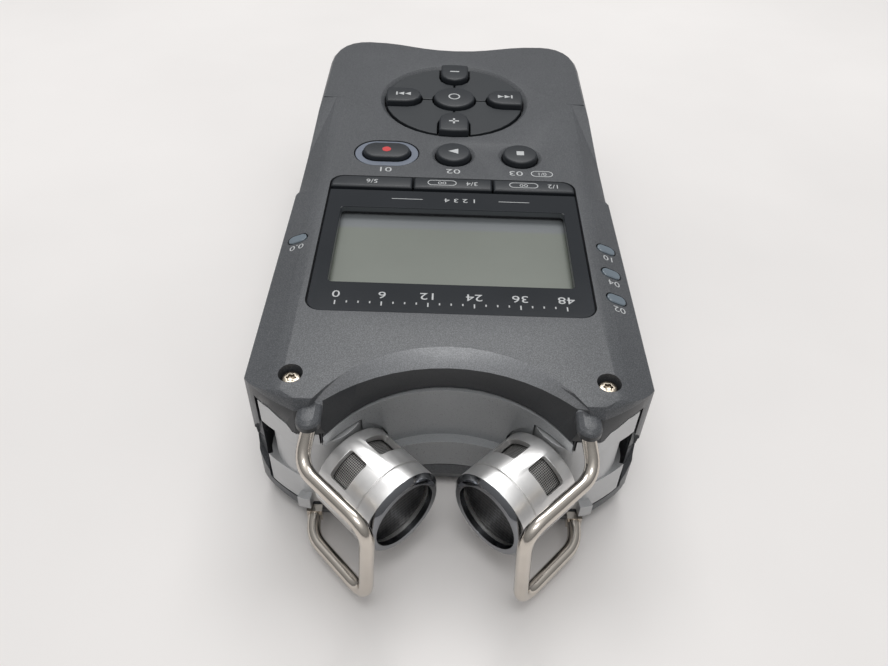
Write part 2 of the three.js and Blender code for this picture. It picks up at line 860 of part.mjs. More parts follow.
function lensOpenings() {
  const cut = prism(slot(lens.half + gap, lens.halfY + gap, 0, 0, 5), -casing.topPlate * 2, overrun);
  return union(lensPlaces.map(([, x, y]) => onSlope(cut, x, y)));
}

function sideOpenings() {
  const wallIn = cavityHalf - overrun;
  const wallOut = width / 2 + overrun;
  const rockerHalf = rocker.half + keys.slack;
  const rockerZ = rocker.halfZ + keys.slack;
  const rockerCut = block(
    wallIn,
    wallOut,
    rocker.y - rockerHalf,
    rocker.y + rockerHalf,
    rocker.z - rockerZ,
    rocker.z + rockerZ,
  );
  const holdCut = block(
    wallIn,
    wallOut,
    hold.y - hold.half - keys.slack,
    hold.y + hold.half + hold.slide + keys.slack,
    hold.z - hold.halfZ - keys.slack,
    hold.z + hold.halfZ + keys.slack,
  );
  const phonesCut = alongX(post(phones.radius + gap, wallIn, wallOut), 1).translate([0, phones.y, phones.z]);
  const powerCut = alongX(post(power.radius + gap, wallIn, wallOut), -1).translate([0, power.y, power.z]);
  const usbCut = block(
    -wallOut,
    -wallIn,
    usb.y - usb.half - gap,
    usb.y + usb.half + gap,
    usb.z - usb.halfZ - gap,
    usb.z + usb.halfZ + gap,
  );
  return union([rockerCut, mirrored(rockerCut), holdCut, phonesCut, powerCut, usbCut]);
}

function comboOpenings() {
  const cut = alongY(post(
    combo.radius + gap,
    cavityFar - casing.cavityRound,
    casing.farEnd + overrun,
    0,
    0,
    fine,
  ));
  return bothSides(cut.translate([combo.x, 0, combo.z]));
}

const cavityTop = face - casing.topPlate;
const frameRoom = {
  cheekHalf: bay.cheekHalf + gap,
  cheekFar: mic.pivotY + gap,
  half: bay.frameHalf + gap,
  near: bay.wallFront - overrun,
  far: bay.frameApex + bay.frameDepth + gap,
};

function frontShellSolid() {
  const low = casing.seamZ + gap / 2;
  const brow = face - bay.browDrop;
  const edge = face - casing.topRound;
  const edgeShare = 1 - casing.topRound / bay.browDrop;
  const outer = loft([
    { z: low, points: casingOutline(wallLevel) },
    { z: wallUnder, points: casingOutline(wallLevel) },
    { z: brow, points: casingOutline(browLevel) },
    { z: edge, points: casingOutline(rimLevel(edgeShare)) },
    { z: face, points: insetBy(casingOutline(topLevel), outsideOnly(casing.topRound)) },
  ]);
  const cavity = prism(
    roundedRect(-cavityHalf, cavityHalf, casing.cavityNear, cavityFar, gap, casing.cavityRound),
    low - overrun,
    cavityTop,
  );
  const { half, near, far, cheekHalf, cheekFar } = frameRoom;
  const framePocket = block(-half, half, near, far, low - overrun, wallUnder)
    .add(block(-cheekHalf, cheekHalf, near, cheekFar, upperBottom, wallUnder));
  const pinHole = post(
    mic.pinRadius + gap,
    earUnder - overrun,
    earUnder + mic.pinSeat,
    mic.pivotX,
    mic.pivotY,
    small,
  );
  const mouth = face - guard.bossDrop;
  const wireHole = post(
    guard.wireRadius + gap,
    mouth - overrun,
    mouth + guard.bossSeat + gap,
    guard.bossX,
    guard.bossY,
    small,
  );
  const screwHole = faceScrewHole().translate([faceScrewX, faceScrew.y, 0]);
  const stub = bothSides(bossSolid());
  const studs = bothSides(post(backScrew.post, low, cavityTop + gap, backScrewX, backScrew.y, small));
  const studBores = bothSides(post(
    backScrew.shankRadius + gap,
    low - overrun,
    backScrew.shankTop + gap,
    backScrewX,
    backScrew.y,
    small,
  ));
  const cuts = union([
    bothSides(wedge()),
    cavity,
    framePocket,
    bothSides(room),
    displayOpening(),
    controlOpenings(),
    lensOpenings(),
    sideOpenings(),
    comboOpenings(),
  ]);
  const bores = bothSides(union([pinHole, wireHole, screwHole])).add(studBores);
  return withoutCrumbs(outer.subtract(cuts).add(stub).add(studs).subtract(bores));
}

// Rear shell
const holderBack = batteryDoor.half;
const cellNear = cell.y - cell.length / 2;
const cellFar = cell.y + cell.length / 2;
const bayNear = cellNear - holder.slack;
const bayFar = cellFar + holder.slack + cell.nubLength;

function rearShellSolid() {
  const high = casing.seamZ - gap / 2;
  const outline = casingOutline(floorLevel);
  const outer = loft([
    ...bottomShares.map(([rise, inset]) => ({
      z: casing.bottomRound * rise,
      points: easedInset(outline, casing.bottomRound * inset),
    })),
    { z: high, points: outline },
  ]);
  const cavity = prism(
    roundedRect(-rearCavityHalf, rearCavityHalf, casing.cavityNear, cavityFar, gap, casing.cavityRound),
    casing.floor,
    high + overrun,
  );
  const ledge = face - bay.rearDrop - gap;
  const framePocket = block(
    -frameRoom.half,
    frameRoom.half,
    frameRoom.near,
    frameRoom.far,
    ledge,
    high + overrun,
  );
  const ribs = [
    bothSides(block(
      holderBack + gap,
      holderBack + gap + holder.wall,
      bayNear - holder.wall,
      bayFar + holder.wall,
      casing.floor - gap,
      holder.height,
    )),
    block(
      -holderBack - gap * 2,
      holderBack + gap * 2,
      bayFar,
      bayFar + holder.wall,
      casing.floor - gap,
      holder.height,
    ),
    block(
      -holderBack - gap * 2,
      holderBack + gap * 2,
      bayNear - holder.wall,
      bayNear,
      casing.floor - gap,
      holder.height,
    ),
    post(tripod.boss, casing.floor - gap, tripod.height + casing.floor, 0, tripod.y),
    bothSides(post(backScrew.post, casing.floor - gap, high, backScrewX, backScrew.y, small)),
  ];
  const doorRoom = prism(
    roundedRect(
      -batteryDoor.half - gap,
      batteryDoor.half + gap,
      bayNear,
      bayFar + batteryDoor.slide,
      batteryDoor.round,
    ),
    -overrun,
    batteryDoor.height + gap,
  );
  const bayRoom = block(
    -holderBack + gap,
    holderBack - gap,
    bayNear + gap,
    bayFar - gap * 2,
    -overrun,
    casing.floor + overrun,
  );
  const slots = [];
  for (let i = 0; i < speaker.slots; i += 1) {
    const dy = (i - (speaker.slots - 1) / 2) * speaker.slotPitch;
    const reach = Math.sqrt((speaker.radius * speaker.shareOfRadius) ** 2 - dy * dy);
    slots.push(prism(
      slot(reach, speaker.slotHalf, speaker.x, speaker.y + dy, 3),
      -overrun,
      casing.floor + overrun,
    ));
  }
  const nutRoom = post(tripod.radius + gap, -overrun, tripod.height + gap, 0, tripod.y);
  const screwHead = bothSides(post(
    backScrew.headRadius + gap,
    -overrun,
    backScrew.headTop + gap,
    backScrewX,
    backScrew.y,
    small,
  ));
  const screwBore = bothSides(post(
    backScrew.shankRadius + gap,
    0,
    high + overrun,
    backScrewX,
    backScrew.y,
    small,
  ));
  const pinHole = bothSides(post(
    mic.pinRadius + gap,
    sweepFloor - mic.pinSeat,
    sweepFloor + overrun,
    mic.pivotX,
    mic.pivotY,
    small,
  ));
  const doorOut = -width / 2 - overrun;
  const doorIn = doorOuterX + cardDoor.height + gap;
  const cardRecess = block(
    doorOut,
    doorIn,
    cardDoor.near - gap,
    cardDoor.far + gap,
    cardDoor.bottom - gap,
    cardDoor.top + gap,
  );
  const cardMiddle = (cardDoor.bottom + cardDoor.top) / 2;
  const cardSlot = block(
    doorIn - overrun,
    -rearCavityHalf + overrun,
    cardDoor.near + cardDoor.slotInset,
    cardDoor.far - cardDoor.slotInset,
    cardMiddle - cardDoor.slotHalf,
    cardMiddle + cardDoor.slotHalf,
  );
  const hingeBores = alongY(post(
    cardDoor.pinRadius + gap / 2,
    cardDoor.near - overrun,
    cardDoor.far + overrun,
    0,
    0,
    small,
  ))
    .translate([doorOuterX + cardDoor.height / 2, 0, cardDoor.bottom + cardDoor.height / 2]);
  const openings = union([
    framePocket,
    bothSides(room),
    doorRoom,
    bayRoom,
    ...slots,
    nutRoom,
    screwHead,
    screwBore,
    pinHole,
    cardRecess,
    cardSlot,
    hingeBores,
    comboOpenings(),
  ]);
  return outer.subtract(cavity).add(union(ribs)).subtract(openings);
}

// Middle frame between the microphones
function chinFrameSolid() {
  const top = wallUnder - gap;
  const ledge = face - bay.ledgeDrop;
  const bottom = face - bay.rearDrop;
  const back = bay.frameApex + bay.frameDepth;
  const arc = (radius, apex, half) => {
    const points = [];
    for (let i = 0; i <= medium; i += 1) {
      const x = -half + (2 * half * i) / medium;
      points.push(new THREE.Vector2(x, apex - radius + Math.sqrt(radius * radius - x * x)));
    }
    points.push(new THREE.Vector2(half, back), new THREE.Vector2(-half, back));
    return points;
  };
  const upper = prism(arc(bay.frameRadius, bay.frameApex, bay.cheekHalf), bottom, top);
  const lower = prism(
    arc(bay.frameRadius + bay.ledgeRun, bay.frameApex - bay.ledgeRun, bay.frameHalf),
    bottom,
    ledge,
  );
  const outer = bay.cheekHalf + overrun;
  const near = bay.wallFront - casing.cornerSetback;
  const underCheek = block(bay.frameHalf, outer, near, back + overrun, bottom - overrun, upperBottom + gap);
  const behindCheek = block(
    bay.frameHalf,
    outer,
    mic.pivotY,
    back + overrun,
    bottom - overrun,
    top + overrun,
  );
  return upper.subtract(bothSides(underCheek.add(behindCheek))).add(lower).subtract(bothSides(room));
}

// Microphone turret, folded position, its barrel along the folded direction
const foldedTurn = -mic.closedTurn;
const toPivot = (solid) => solid.rotate([0, 0, foldedTurn]).translate([mic.pivotX, mic.pivotY, 0]);
const alongBarrel = (solid) => toPivot(solid.rotate([90, 0, 0]).translate([0, 0, barrelAxisZ]));

// A slice of a disc whose edge lies flush with the casing's corner
function cornerSlice(from, to, z0, z1) {
  const corner = prism(casingOutline(wallLevel), z0, z1).translate([-mic.pivotX, -mic.pivotY, 0]);
  return slice(mic.cornerRadius, from, to, z0, z1).intersect(corner);
}

function turretSolid() {
  const { discRadius, neckRadius, hubRadius, shieldFrom, shieldTo, cornerRadius } = mic;
  const rimTop = wallUnder - gap;
  const core = turned([
    [0, lowerBottom],
    [neckRadius, lowerBottom],
    [neckRadius, upperBottom],
    [hubRadius, upperBottom],
    [hubRadius, upperTop],
    [0, upperTop],
  ], fine);
  const away = slice(cornerRadius * 2, shieldFrom, shieldTo, lowerBottom - overrun, lowerTop + overrun);
  const lower = post(discRadius, lowerBottom, lowerTop, 0, 0, fine)
    .subtract(away)
    .add(cornerSlice(shieldFrom, shieldTo, lowerBottom, lowerTop));
  const stop = slice(cornerRadius, mic.stopFrom, mic.stopTo, lowerBottom, lowerBottom + mic.stopHeight);
  const shield = cornerSlice(shieldFrom, shieldTo, upperBottom, rimTop);
  const lip = cornerSlice(shieldFrom, shieldTo, upperBottom, upperTop).intersect(underSkirt(gap));
  const whole = union([core, lower, stop, shield, lip]).translate([mic.pivotX, mic.pivotY, 0]);
  const barrelRoom = alongBarrel(post(
    mic.barrelRadius + gap,
    mic.barrelStart - gap,
    mic.barrelEnd,
    0,
    0,
    fine,
  ));
  const bore = post(mic.pinRadius + gap, 0, face, mic.pivotX, mic.pivotY, small);
  return whole.subtract(barrelRoom).subtract(bore);
}

const stemRadius = mic.capsuleRadius / 3;
function barrelSolid() {
  const outer = mic.barrelRadius;
  const inner = outer - mic.barrelWall;
  const groove = mic.grooveStart;
  const back = mic.barrelStart + mic.barrelWall;
  const stemHole = stemRadius + gap;
  const shell = turned([
    [stemHole, mic.barrelStart],
    [outer - mic.backBevel, mic.barrelStart],
    [outer, mic.barrelStart + mic.backBevel],
    [outer, groove],
    [outer - mic.grooveDepth, groove],
    [outer - mic.grooveDepth, groove + mic.grooveWidth],
    [outer, groove + mic.grooveWidth],
    [outer, mic.barrelEnd - mic.rimBevel],
    [outer - mic.rimBevel, mic.barrelEnd],
    [mic.rimInner, mic.barrelEnd],
    [mic.rimInner, mic.barrelEnd - mic.rimDepth],
    [inner, mic.barrelEnd - mic.rimDepth],
    [inner, back],
    [stemHole, back],
    [stemHole, mic.barrelStart],
  ], fine);
  const high = outer + overrun;
  const windowHalf = outer * Math.sin((mic.windowHalfAngle * Math.PI) / 180);
  const round = mic.barrelWall / 2;
  const windowCut = prism(
    roundedRect(mic.windowStart, mic.windowEnd, -windowHalf, windowHalf, round, round, 2),
    inner - mic.barrelWall * 2,
    high,
  ).rotate([0, -90, 0]);
  const turns = [mic.windowAngle, -mic.windowAngle, 180 - mic.windowAngle, 180 + mic.windowAngle];
  const windows = union(turns.map((turn) => windowCut.rotate([0, 0, turn + 90])));
  return alongBarrel(shell.subtract(windows));
}

function meshSolid() {
  const outer = mic.barrelRadius - mic.barrelWall - gap;
  const inner = outer - mic.meshWall;
  const front = mic.barrelEnd - mic.meshSetback;
  const back = mic.barrelStart + mic.barrelWall + gap;
  return alongBarrel(turned([
    [inner, back],
    [outer, back],
    [outer, front],
    [0, front],
    [0, front - mic.meshWall],
    [inner, front - mic.meshWall],
    [inner, back],
  ], fine));
}

function capsuleSolid() {
  return alongBarrel(turned([
    [0, mic.barrelStart],
    [stemRadius, mic.barrelStart],
    [stemRadius, mic.capsuleStart],
    [mic.capsuleRadius + gap * 2, mic.capsuleStart],
    [mic.capsuleRadius + gap * 2, mic.capsuleEnd],
    [0, mic.capsuleEnd],
  ]));
}

// Rockers, hold switch and sockets on the sides
function rockerSolid() {
  const inner = farHalf - rocker.sunk;
  const outer = farHalf + rocker.proud;
  const waist = rocker.hollow;
  const section = [
    new THREE.Vector2(inner, rocker.y - rocker.half),
    new THREE.Vector2(outer - waist, rocker.y - rocker.half),
    new THREE.Vector2(outer, rocker.y - rocker.half + waist * 2),
    new THREE.Vector2(outer - waist, rocker.y),
    new THREE.Vector2(outer, rocker.y + rocker.half - waist * 2),
    new THREE.Vector2(outer - waist, rocker.y + rocker.half),
    new THREE.Vector2(inner, rocker.y + rocker.half),
  ];
  return prism(section, rocker.z - rocker.halfZ, rocker.z + rocker.halfZ);
}

function holdSolid() {
  const knob = block(
    waistHalf - hold.sunk,
    holdFace,
    hold.y - hold.half,
    hold.y + hold.half,
    hold.z - hold.halfZ,
    hold.z + hold.halfZ,
  );
  const cuts = [];
  for (let i = 0; i < hold.ribs; i += 1) {
    const y = hold.y + (i - (hold.ribs - 1) / 2) * hold.ribWidth * 2.4;
    cuts.push(block(
      holdFace - hold.ribDepth,
      holdFace + overrun,
      y - hold.ribWidth / 2,
      y + hold.ribWidth / 2,
      hold.z - hold.halfZ - overrun,
      hold.z + hold.halfZ + overrun,
    ));
  }
  return knob.subtract(union(cuts));
}

function roundSocket(piece, side) {
  const barrel = turned([
    [0, socketFace - piece.depth],
    [piece.radius, socketFace - piece.depth],
    [piece.radius, socketFace],
    [piece.bore, socketFace],
    [piece.bore, socketFace - piece.boreDepth],
    [0, socketFace - piece.boreDepth],
  ], small);
  return alongX(barrel, side).translate([0, piece.y, piece.z]);
}

function usbSolid() {
  const body = block(
    -socketFace,
    -socketFace + usb.depth,
    usb.y - usb.half,
    usb.y + usb.half,
    usb.z - usb.halfZ,
    usb.z + usb.halfZ,
  );
  const mouth = block(
    -socketFace - overrun,
    -socketFace + usb.slotDepth,
    usb.y - usb.half + usb.wall,
    usb.y + usb.half - usb.wall,
    usb.z - usb.halfZ + usb.wall,
    usb.z + usb.halfZ - usb.wall,
  );
  return body.subtract(mouth);
}

function comboSolid() {
  const inner = comboFace - combo.depth;
  const cupFloor = comboFace - combo.cupDepth;
  const pins = combo.pinTurns.map((turn) => (
    post(
      combo.pinBore,
      cupFloor - combo.pinDepth,
      cupFloor + overrun,
      combo.pinRing,
      0,
      tiny,
    ).rotate([0, 0, turn])
  ));
  const barrel = turned([
    [0, inner],
    [combo.radius, inner],
    [combo.radius, comboFace],
    [combo.cup, comboFace],
    [combo.cup, cupFloor],
    [combo.bore, cupFloor],
    [combo.bore, comboFace - combo.boreDepth],
    [0, comboFace - combo.boreDepth],
  ], fine);
  return alongY(barrel.subtract(union(pins))).translate([combo.x, 0, combo.z]);
}

// Battery bay
function cellSolid() {
  return alongY(turned([
    [0, cellNear],
    [cell.radius, cellNear],
    [cell.radius, cellFar],
    [cell.nubRadius, cellFar],
    [cell.nubRadius, cellFar + cell.nubLength],
    [0, cellFar + cell.nubLength],
  ])).translate([0, 0, batteryDoor.height + gap + cell.radius]);
}

function contactSolid(isFar) {
  const sign = isFar ? -1 : 1;
  const wallY = isFar ? bayFar - gap : bayNear + gap;
  const inner = wallY + sign * contact.thickness;
  const plate = block(
    -contact.half,
    contact.half,
    Math.min(wallY, inner),
    Math.max(wallY, inner),
    contact.bottom,
    contact.top,
  );
  const middle = batteryDoor.height + gap + cell.radius;
  const springs = [-1, 0, 1].map((column) => {
    const stub = alongY(post(contact.springRadius, 0, contact.springReach, 0, 0, small));
    const placed = isFar ? stub.rotate([0, 0, 180]) : stub;
    return placed.translate([column * cell.pitch, inner - sign * gap / 10, middle]);
  });
  return isFar ? plate : plate.add(union(springs));
}

function batteryDoorSolid() {
  const { half, height, round } = batteryDoor;
  const near = bayNear + gap;
  const far = bayFar - gap;
  const slab = prism(roundedRect(-half, half, near, far, round), 0, height);
  const cuts = [];
  for (let i = 0; i < batteryDoor.ridges; i += 1) {
    const y = far - batteryDoor.slide - i * batteryDoor.ridge * 2;
    cuts.push(block(-half / 4, half / 4, y, y + batteryDoor.ridge, -overrun, batteryDoor.ridgeDepth));
  }
  return slab.subtract(union(cuts));
}

// Card door, hinged along its lower edge
const doorOuterX = -waistHalf;
function cardDoorSolid() {
  const leaf = block(
    doorOuterX,
    doorOuterX + cardDoor.height,
    cardDoor.near,
    cardDoor.far,
    cardDoor.bottom + cardDoor.height / 2,
    cardDoor.top,
  );
  const knuckle = alongY(post(cardDoor.height / 2, cardDoor.near, cardDoor.far, 0, 0, small));
  const pin = alongY(post(
    cardDoor.pinRadius,
    cardDoor.near - overrun / 2,
    cardDoor.far + overrun / 2,
    0,
    0,
    small,
  ));
  return leaf.add(knuckle.add(pin).translate([
    doorOuterX + cardDoor.height / 2,
    0,
    cardDoor.bottom + cardDoor.height / 2,
  ]));
}

// Fixed pieces
place('front_shell', frontShellSolid(), casingPaint);
place('rear_shell', rearShellSolid(), casingPaint);
place('chin_frame', chinFrameSolid(), frameMetal);
for (const [side, solid] of [['right', guardSolid()], ['left', mirrored(guardSolid())]]) {
  place(`guard_${side}`, solid, brightMetal);
}

const windowTop = face - display.windowDrop;
place('display_window', keyBody(
  roundedRect(
    -display.half + gap,
    display.half - gap,
    display.near + gap,
    display.keyNear - gap,
    display.nearRound - gap,
    gap,
    6,
  ),
  face - display.recess + gap,
  windowTop,
  gap / 2,
), blackPlastic);
const boardTop = cavityTop - board.drop;
place('lcd_panel', block(
  -display.glassHalf - display.border + gap,
  display.glassHalf + display.border - gap,
  display.glassNear - display.border + gap,
  display.glassFar + display.border - gap,
  boardTop + gap,
  face - display.glassDrop,
), paint(0x8a9187, 0.4, 0));
place('main_board', block(
  -cavityHalf + board.inset,
  cavityHalf - board.inset,
  casing.cavityNear + gap,
  cavityFar - casing.cavityRound,
  boardTop - board.height,
  boardTop,
), paint(0x1f5a3a, 0.6, 0));
place('key_mat', prism(
  roundedRect(-mat.half, mat.half, mat.near, cavityFar - mat.farInset, casing.wall),
  boardTop + gap,
  face - mat.top,
), paint(0x8f9396, 0.8, 0));
const ring = prism(
  slot(keys.ringHalf, keys.ringHalfY, -keys.sideX, keys.rowY),
  face - keys.ringRecess + gap,
  face - keys.ringDrop,
);
const ringHole = prism(
  slot(keys.recordHalf + keys.slack, keys.recordHalfY + keys.slack, -keys.sideX, keys.rowY),
  0,
  thickness + overrun,
);
place('record_light_ring', ring.subtract(ringHole), paint(0x9aa3b3, 0.3, 0));
for (const [name, x, y] of lensPlaces) {
  const pill = keyBody(slot(lens.half, lens.halfY, 0, 0, 5), -lens.depth, lens.proud, lens.proud);
  place(name, onSlope(pill, x, y), paint(0x7b8da0, 0.25, 0));
}
for (const [side, sign] of [['right', 1], ['left', -1]]) {
  place(`face_screw_${side}`, faceScrewSolid().translate([sign * faceScrewX, faceScrew.y, 0]), steel);
  place(`back_screw_${side}`, backScrewSolid().translate([sign * backScrewX, backScrew.y, 0]), steel);
  const pin = post(mic.pinRadius, sweepFloor - mic.pinSeat + gap, earUnder + mic.pinSeat - gap, 0, 0, small);
  place(`pivot_pin_${side}`, pin.translate([sign * mic.pivotX, mic.pivotY, 0]), steel);
  const jack = comboSolid();
  place(`combo_jack_${side}`, sign > 0 ? jack : mirrored(jack), blackPlastic);
}
place('phones_jack', roundSocket(phones, 1), blackPlastic);
place('power_jack', roundSocket(power, -1), blackPlastic);
place('usb_port', usbSolid(), steel);
place(
  'speaker',
  post(speaker.radius, casing.floor + gap, casing.floor + gap + speaker.height, speaker.x, speaker.y),
  blackPlastic,
);
place('tripod_nut', post(tripod.radius, gap, tripod.height, 0, tripod.y).subtract(
  post(tripod.bore, -overrun, tripod.boreDepth, 0, tripod.y),
), paint(0xb08d4a, 0.35, 1));
[-1, 0, 1].forEach((column) => {
  place(
    `battery_cell_${column + 2}`,
    cellSolid().translate([column * cell.pitch, 0, 0]),
    paint(0x2c2f33, 0.4, 0.2),
  );
});
place('contact_near', contactSolid(false), steel);
place('contact_far', contactSolid(true), steel);

// Moving pieces: microphones
for (const [side, turn] of [['right', (solid) => solid], ['left', mirrored]]) {
  place(`mic_turret_${side}`, turn(turretSolid()), silver);
  place(`mic_barrel_${side}`, turn(barrelSolid()), silver);
  place(`mic_mesh_${side}`, turn(meshSolid()), blackPlastic);
  place(`mic_capsule_${side}`, turn(capsuleSolid()), paint(0x9a8350, 0.4, 0.8));
}

// Moving pieces: keys
[-1, 0, 1].forEach((column) => {
  const outline = functionKeyOutline(column);
  place(`function_key_${column + 2}`, keyBody(outline, keyBottom, face + display.keyRaise), keyPlastic);
});
place('record_key', keyBody(
  slot(keys.recordHalf, keys.recordHalfY, -keys.sideX, keys.rowY),
  keyBottom,
  face + keys.recordRaise,
), keyPlastic);
place(
  'play_key',
  keyBody(circle(keys.roundRadius, 0, keys.rowY), keyBottom, face + keys.roundRaise),
  keyPlastic,
);
place(
  'stop_key',
  keyBody(circle(keys.roundRadius, keys.sideX, keys.rowY), keyBottom, face + keys.roundRaise),
  keyPlastic,
);
place('enter_key', keyBody(circle(pad.enterRadius, 0, pad.y), keyBottom, face + pad.enterRaise), keyPlastic);
['right_key', 'minus_key', 'left_key', 'plus_key'].forEach((name, quarter) => {
  const outline = arrowOutline((quarter * Math.PI) / 2);
  const moved = outline.map((point) => new THREE.Vector2(point.x, point.y + pad.y));
  place(name, keyBody(moved, keyBottom, face + keyRaise), keyPlastic);
});
[0, 1, 2, 3].forEach((quarter) => {
  place(`plate_key_${quarter + 1}`, plateSolid(quarter).translate([0, pad.y, 0]), keyPlastic);
});

// Moving pieces: sides and back
place('volume_rocker', rockerSolid(), keyPlastic);
place('level_rocker', mirrored(rockerSolid()), keyPlastic);
place('hold_switch', holdSolid(), keyPlastic);
place('card_door', cardDoorSolid(), casingPaint);
place('battery_door', batteryDoorSolid(), casingPaint);

export default recorder;
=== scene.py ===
"""Handheld digital recorder: finished surfaces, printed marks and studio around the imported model."""
import json
import math

import bmesh
import bpy
from mathutils import Matrix, Vector


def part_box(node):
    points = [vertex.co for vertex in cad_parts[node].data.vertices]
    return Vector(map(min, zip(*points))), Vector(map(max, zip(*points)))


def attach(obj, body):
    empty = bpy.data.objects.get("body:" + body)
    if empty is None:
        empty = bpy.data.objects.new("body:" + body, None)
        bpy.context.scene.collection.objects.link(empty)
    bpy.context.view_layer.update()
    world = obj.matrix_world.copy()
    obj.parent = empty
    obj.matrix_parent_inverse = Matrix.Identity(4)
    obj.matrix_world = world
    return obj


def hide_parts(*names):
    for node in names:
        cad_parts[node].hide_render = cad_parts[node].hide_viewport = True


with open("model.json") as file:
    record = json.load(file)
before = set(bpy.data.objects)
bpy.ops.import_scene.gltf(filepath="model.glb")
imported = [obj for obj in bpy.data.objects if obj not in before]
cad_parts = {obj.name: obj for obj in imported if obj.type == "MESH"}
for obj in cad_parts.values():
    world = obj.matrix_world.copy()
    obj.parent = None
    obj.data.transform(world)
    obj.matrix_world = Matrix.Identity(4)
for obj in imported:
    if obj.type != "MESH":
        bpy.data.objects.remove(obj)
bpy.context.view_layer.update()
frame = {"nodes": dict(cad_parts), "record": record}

# Lengths are in millimetres and turns in degrees, unless a comment says otherwise
MM = 0.001
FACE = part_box("front_shell")[1].z / MM
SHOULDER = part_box("front_shell")[1].x / MM
RECORD = frame["record"]
JOINTS = RECORD["behaviour"]["joints"]
JOINT_PLACE = {joint["name"]: Vector(joint["pos_m"]) for joint in JOINTS if "pos_m" in joint}
SLOT_OF = {row["node"]: row["material_slot"] for row in RECORD["subparts"]}
BODY_OF = {
    node: body
    for body, nodes in RECORD["behaviour"]["bodies"].items()
    for node in nodes
}
SIDES = ("right", "left")

# Camera: where the photograph was taken from

CAMERA_PLACE = (-2.218, -139.60, 129.78)
CAMERA_PITCH = 44.300
CAMERA_YAW = 0.590
CAMERA_ROLL = 2.194
SENSOR_WIDTH = 36.0
FOCAL_LENGTH = 31.435
NEAREST_SEEN = 10


def aim_camera():
    pitch = math.radians(CAMERA_PITCH)
    yaw = math.radians(CAMERA_YAW)
    roll = math.radians(CAMERA_ROLL)
    ahead = Vector((math.sin(yaw) * math.cos(pitch), math.cos(yaw) * math.cos(pitch), -math.sin(pitch)))
    level = ahead.cross(Vector((0, 0, 1))).normalized()
    upright = level.cross(ahead)
    right = level * math.cos(roll) + upright * math.sin(roll)
    up = upright * math.cos(roll) - level * math.sin(roll)
    lens = bpy.data.cameras.new("camera")
    lens.sensor_width = SENSOR_WIDTH
    lens.lens = FOCAL_LENGTH
    lens.clip_start = NEAREST_SEEN * MM
    camera = bpy.data.objects.new("camera", lens)
    bpy.context.scene.collection.objects.link(camera)
    turn = Matrix((right, up, -ahead)).transposed().to_4x4()
    camera.matrix_world = Matrix.Translation(Vector(CAMERA_PLACE) * MM) @ turn
    bpy.context.scene.camera = camera


aim_camera()


# Helpers for shader nodes

def wire(tree, source, target):
    tree.links.new(source, target)


def feed(tree, value, target):
    """Gives an input a plain value, or wires another node's output to it."""
    if isinstance(value, bpy.types.NodeSocket):
        wire(tree, value, target)
    else:
        target.default_value = value


def add(tree, kind, **settings):
    node = tree.nodes.new(kind)
    for key, value in settings.items():
        if key in node.inputs:
            node.inputs[key].default_value = value
        else:
            setattr(node, key, value)
    return node


def noise(tree, spot, scale, **settings):
    """Smooth noise at a spot, between 0 and 1."""
    node = add(tree, "ShaderNodeTexNoise", **settings)
    wire(tree, spot, node.inputs["Vector"])
    feed(tree, scale, node.inputs["Scale"])
    return node.outputs["Fac"]


def remap(tree, value, low, high, to_low=0.0, to_high=1.0):
    """Takes the span between two values to the span between two others."""
    node = add(tree, "ShaderNodeMapRange")
    node.inputs["From Min"].default_value = low
    node.inputs["From Max"].default_value = high
    node.inputs["To Min"].default_value = to_low
    node.inputs["To Max"].default_value = to_high
    wire(tree, value, node.inputs["Value"])
    return node.outputs["Result"]


def blend(tree, share, first, second, **settings):
    """Mixes two colours."""
    node = add(tree, "ShaderNodeMix", data_type="RGBA", **settings)
    feed(tree, share, node.inputs["Factor"])
    feed(tree, first, node.inputs["A"])
    feed(tree, second, node.inputs["B"])
    return node.outputs["Result"]


def reckon(tree, operation, *values):
    """Plain arithmetic on one to three values."""
    node = add(tree, "ShaderNodeMath", operation=operation)
    for place, value in enumerate(values):
        feed(tree, value, node.inputs[place])
    return node.outputs["Value"]


def relief(tree, strength, height, depth):
    """A normal that follows a height; the depth is in metres."""
    node = add(tree, "ShaderNodeBump", Distance=depth)
    wire(tree, strength, node.inputs["Strength"])
    wire(tree, height, node.inputs["Height"])
    return node.outputs["Normal"]


def new_group(name, inputs, outputs):
    """A shared effect, and the sockets that it takes and gives."""
    group = bpy.data.node_groups.new(name, "ShaderNodeTree")
    for label, kind, value in inputs:
        socket = group.interface.new_socket(label, in_out="INPUT", socket_type=kind)
        if value is not None:
            socket.default_value = value
    for label, kind in outputs:
        group.interface.new_socket(label, in_out="OUTPUT", socket_type=kind)
    return group, group.nodes.new("NodeGroupInput").outputs, group.nodes.new("NodeGroupOutput").inputs


# Shared effects

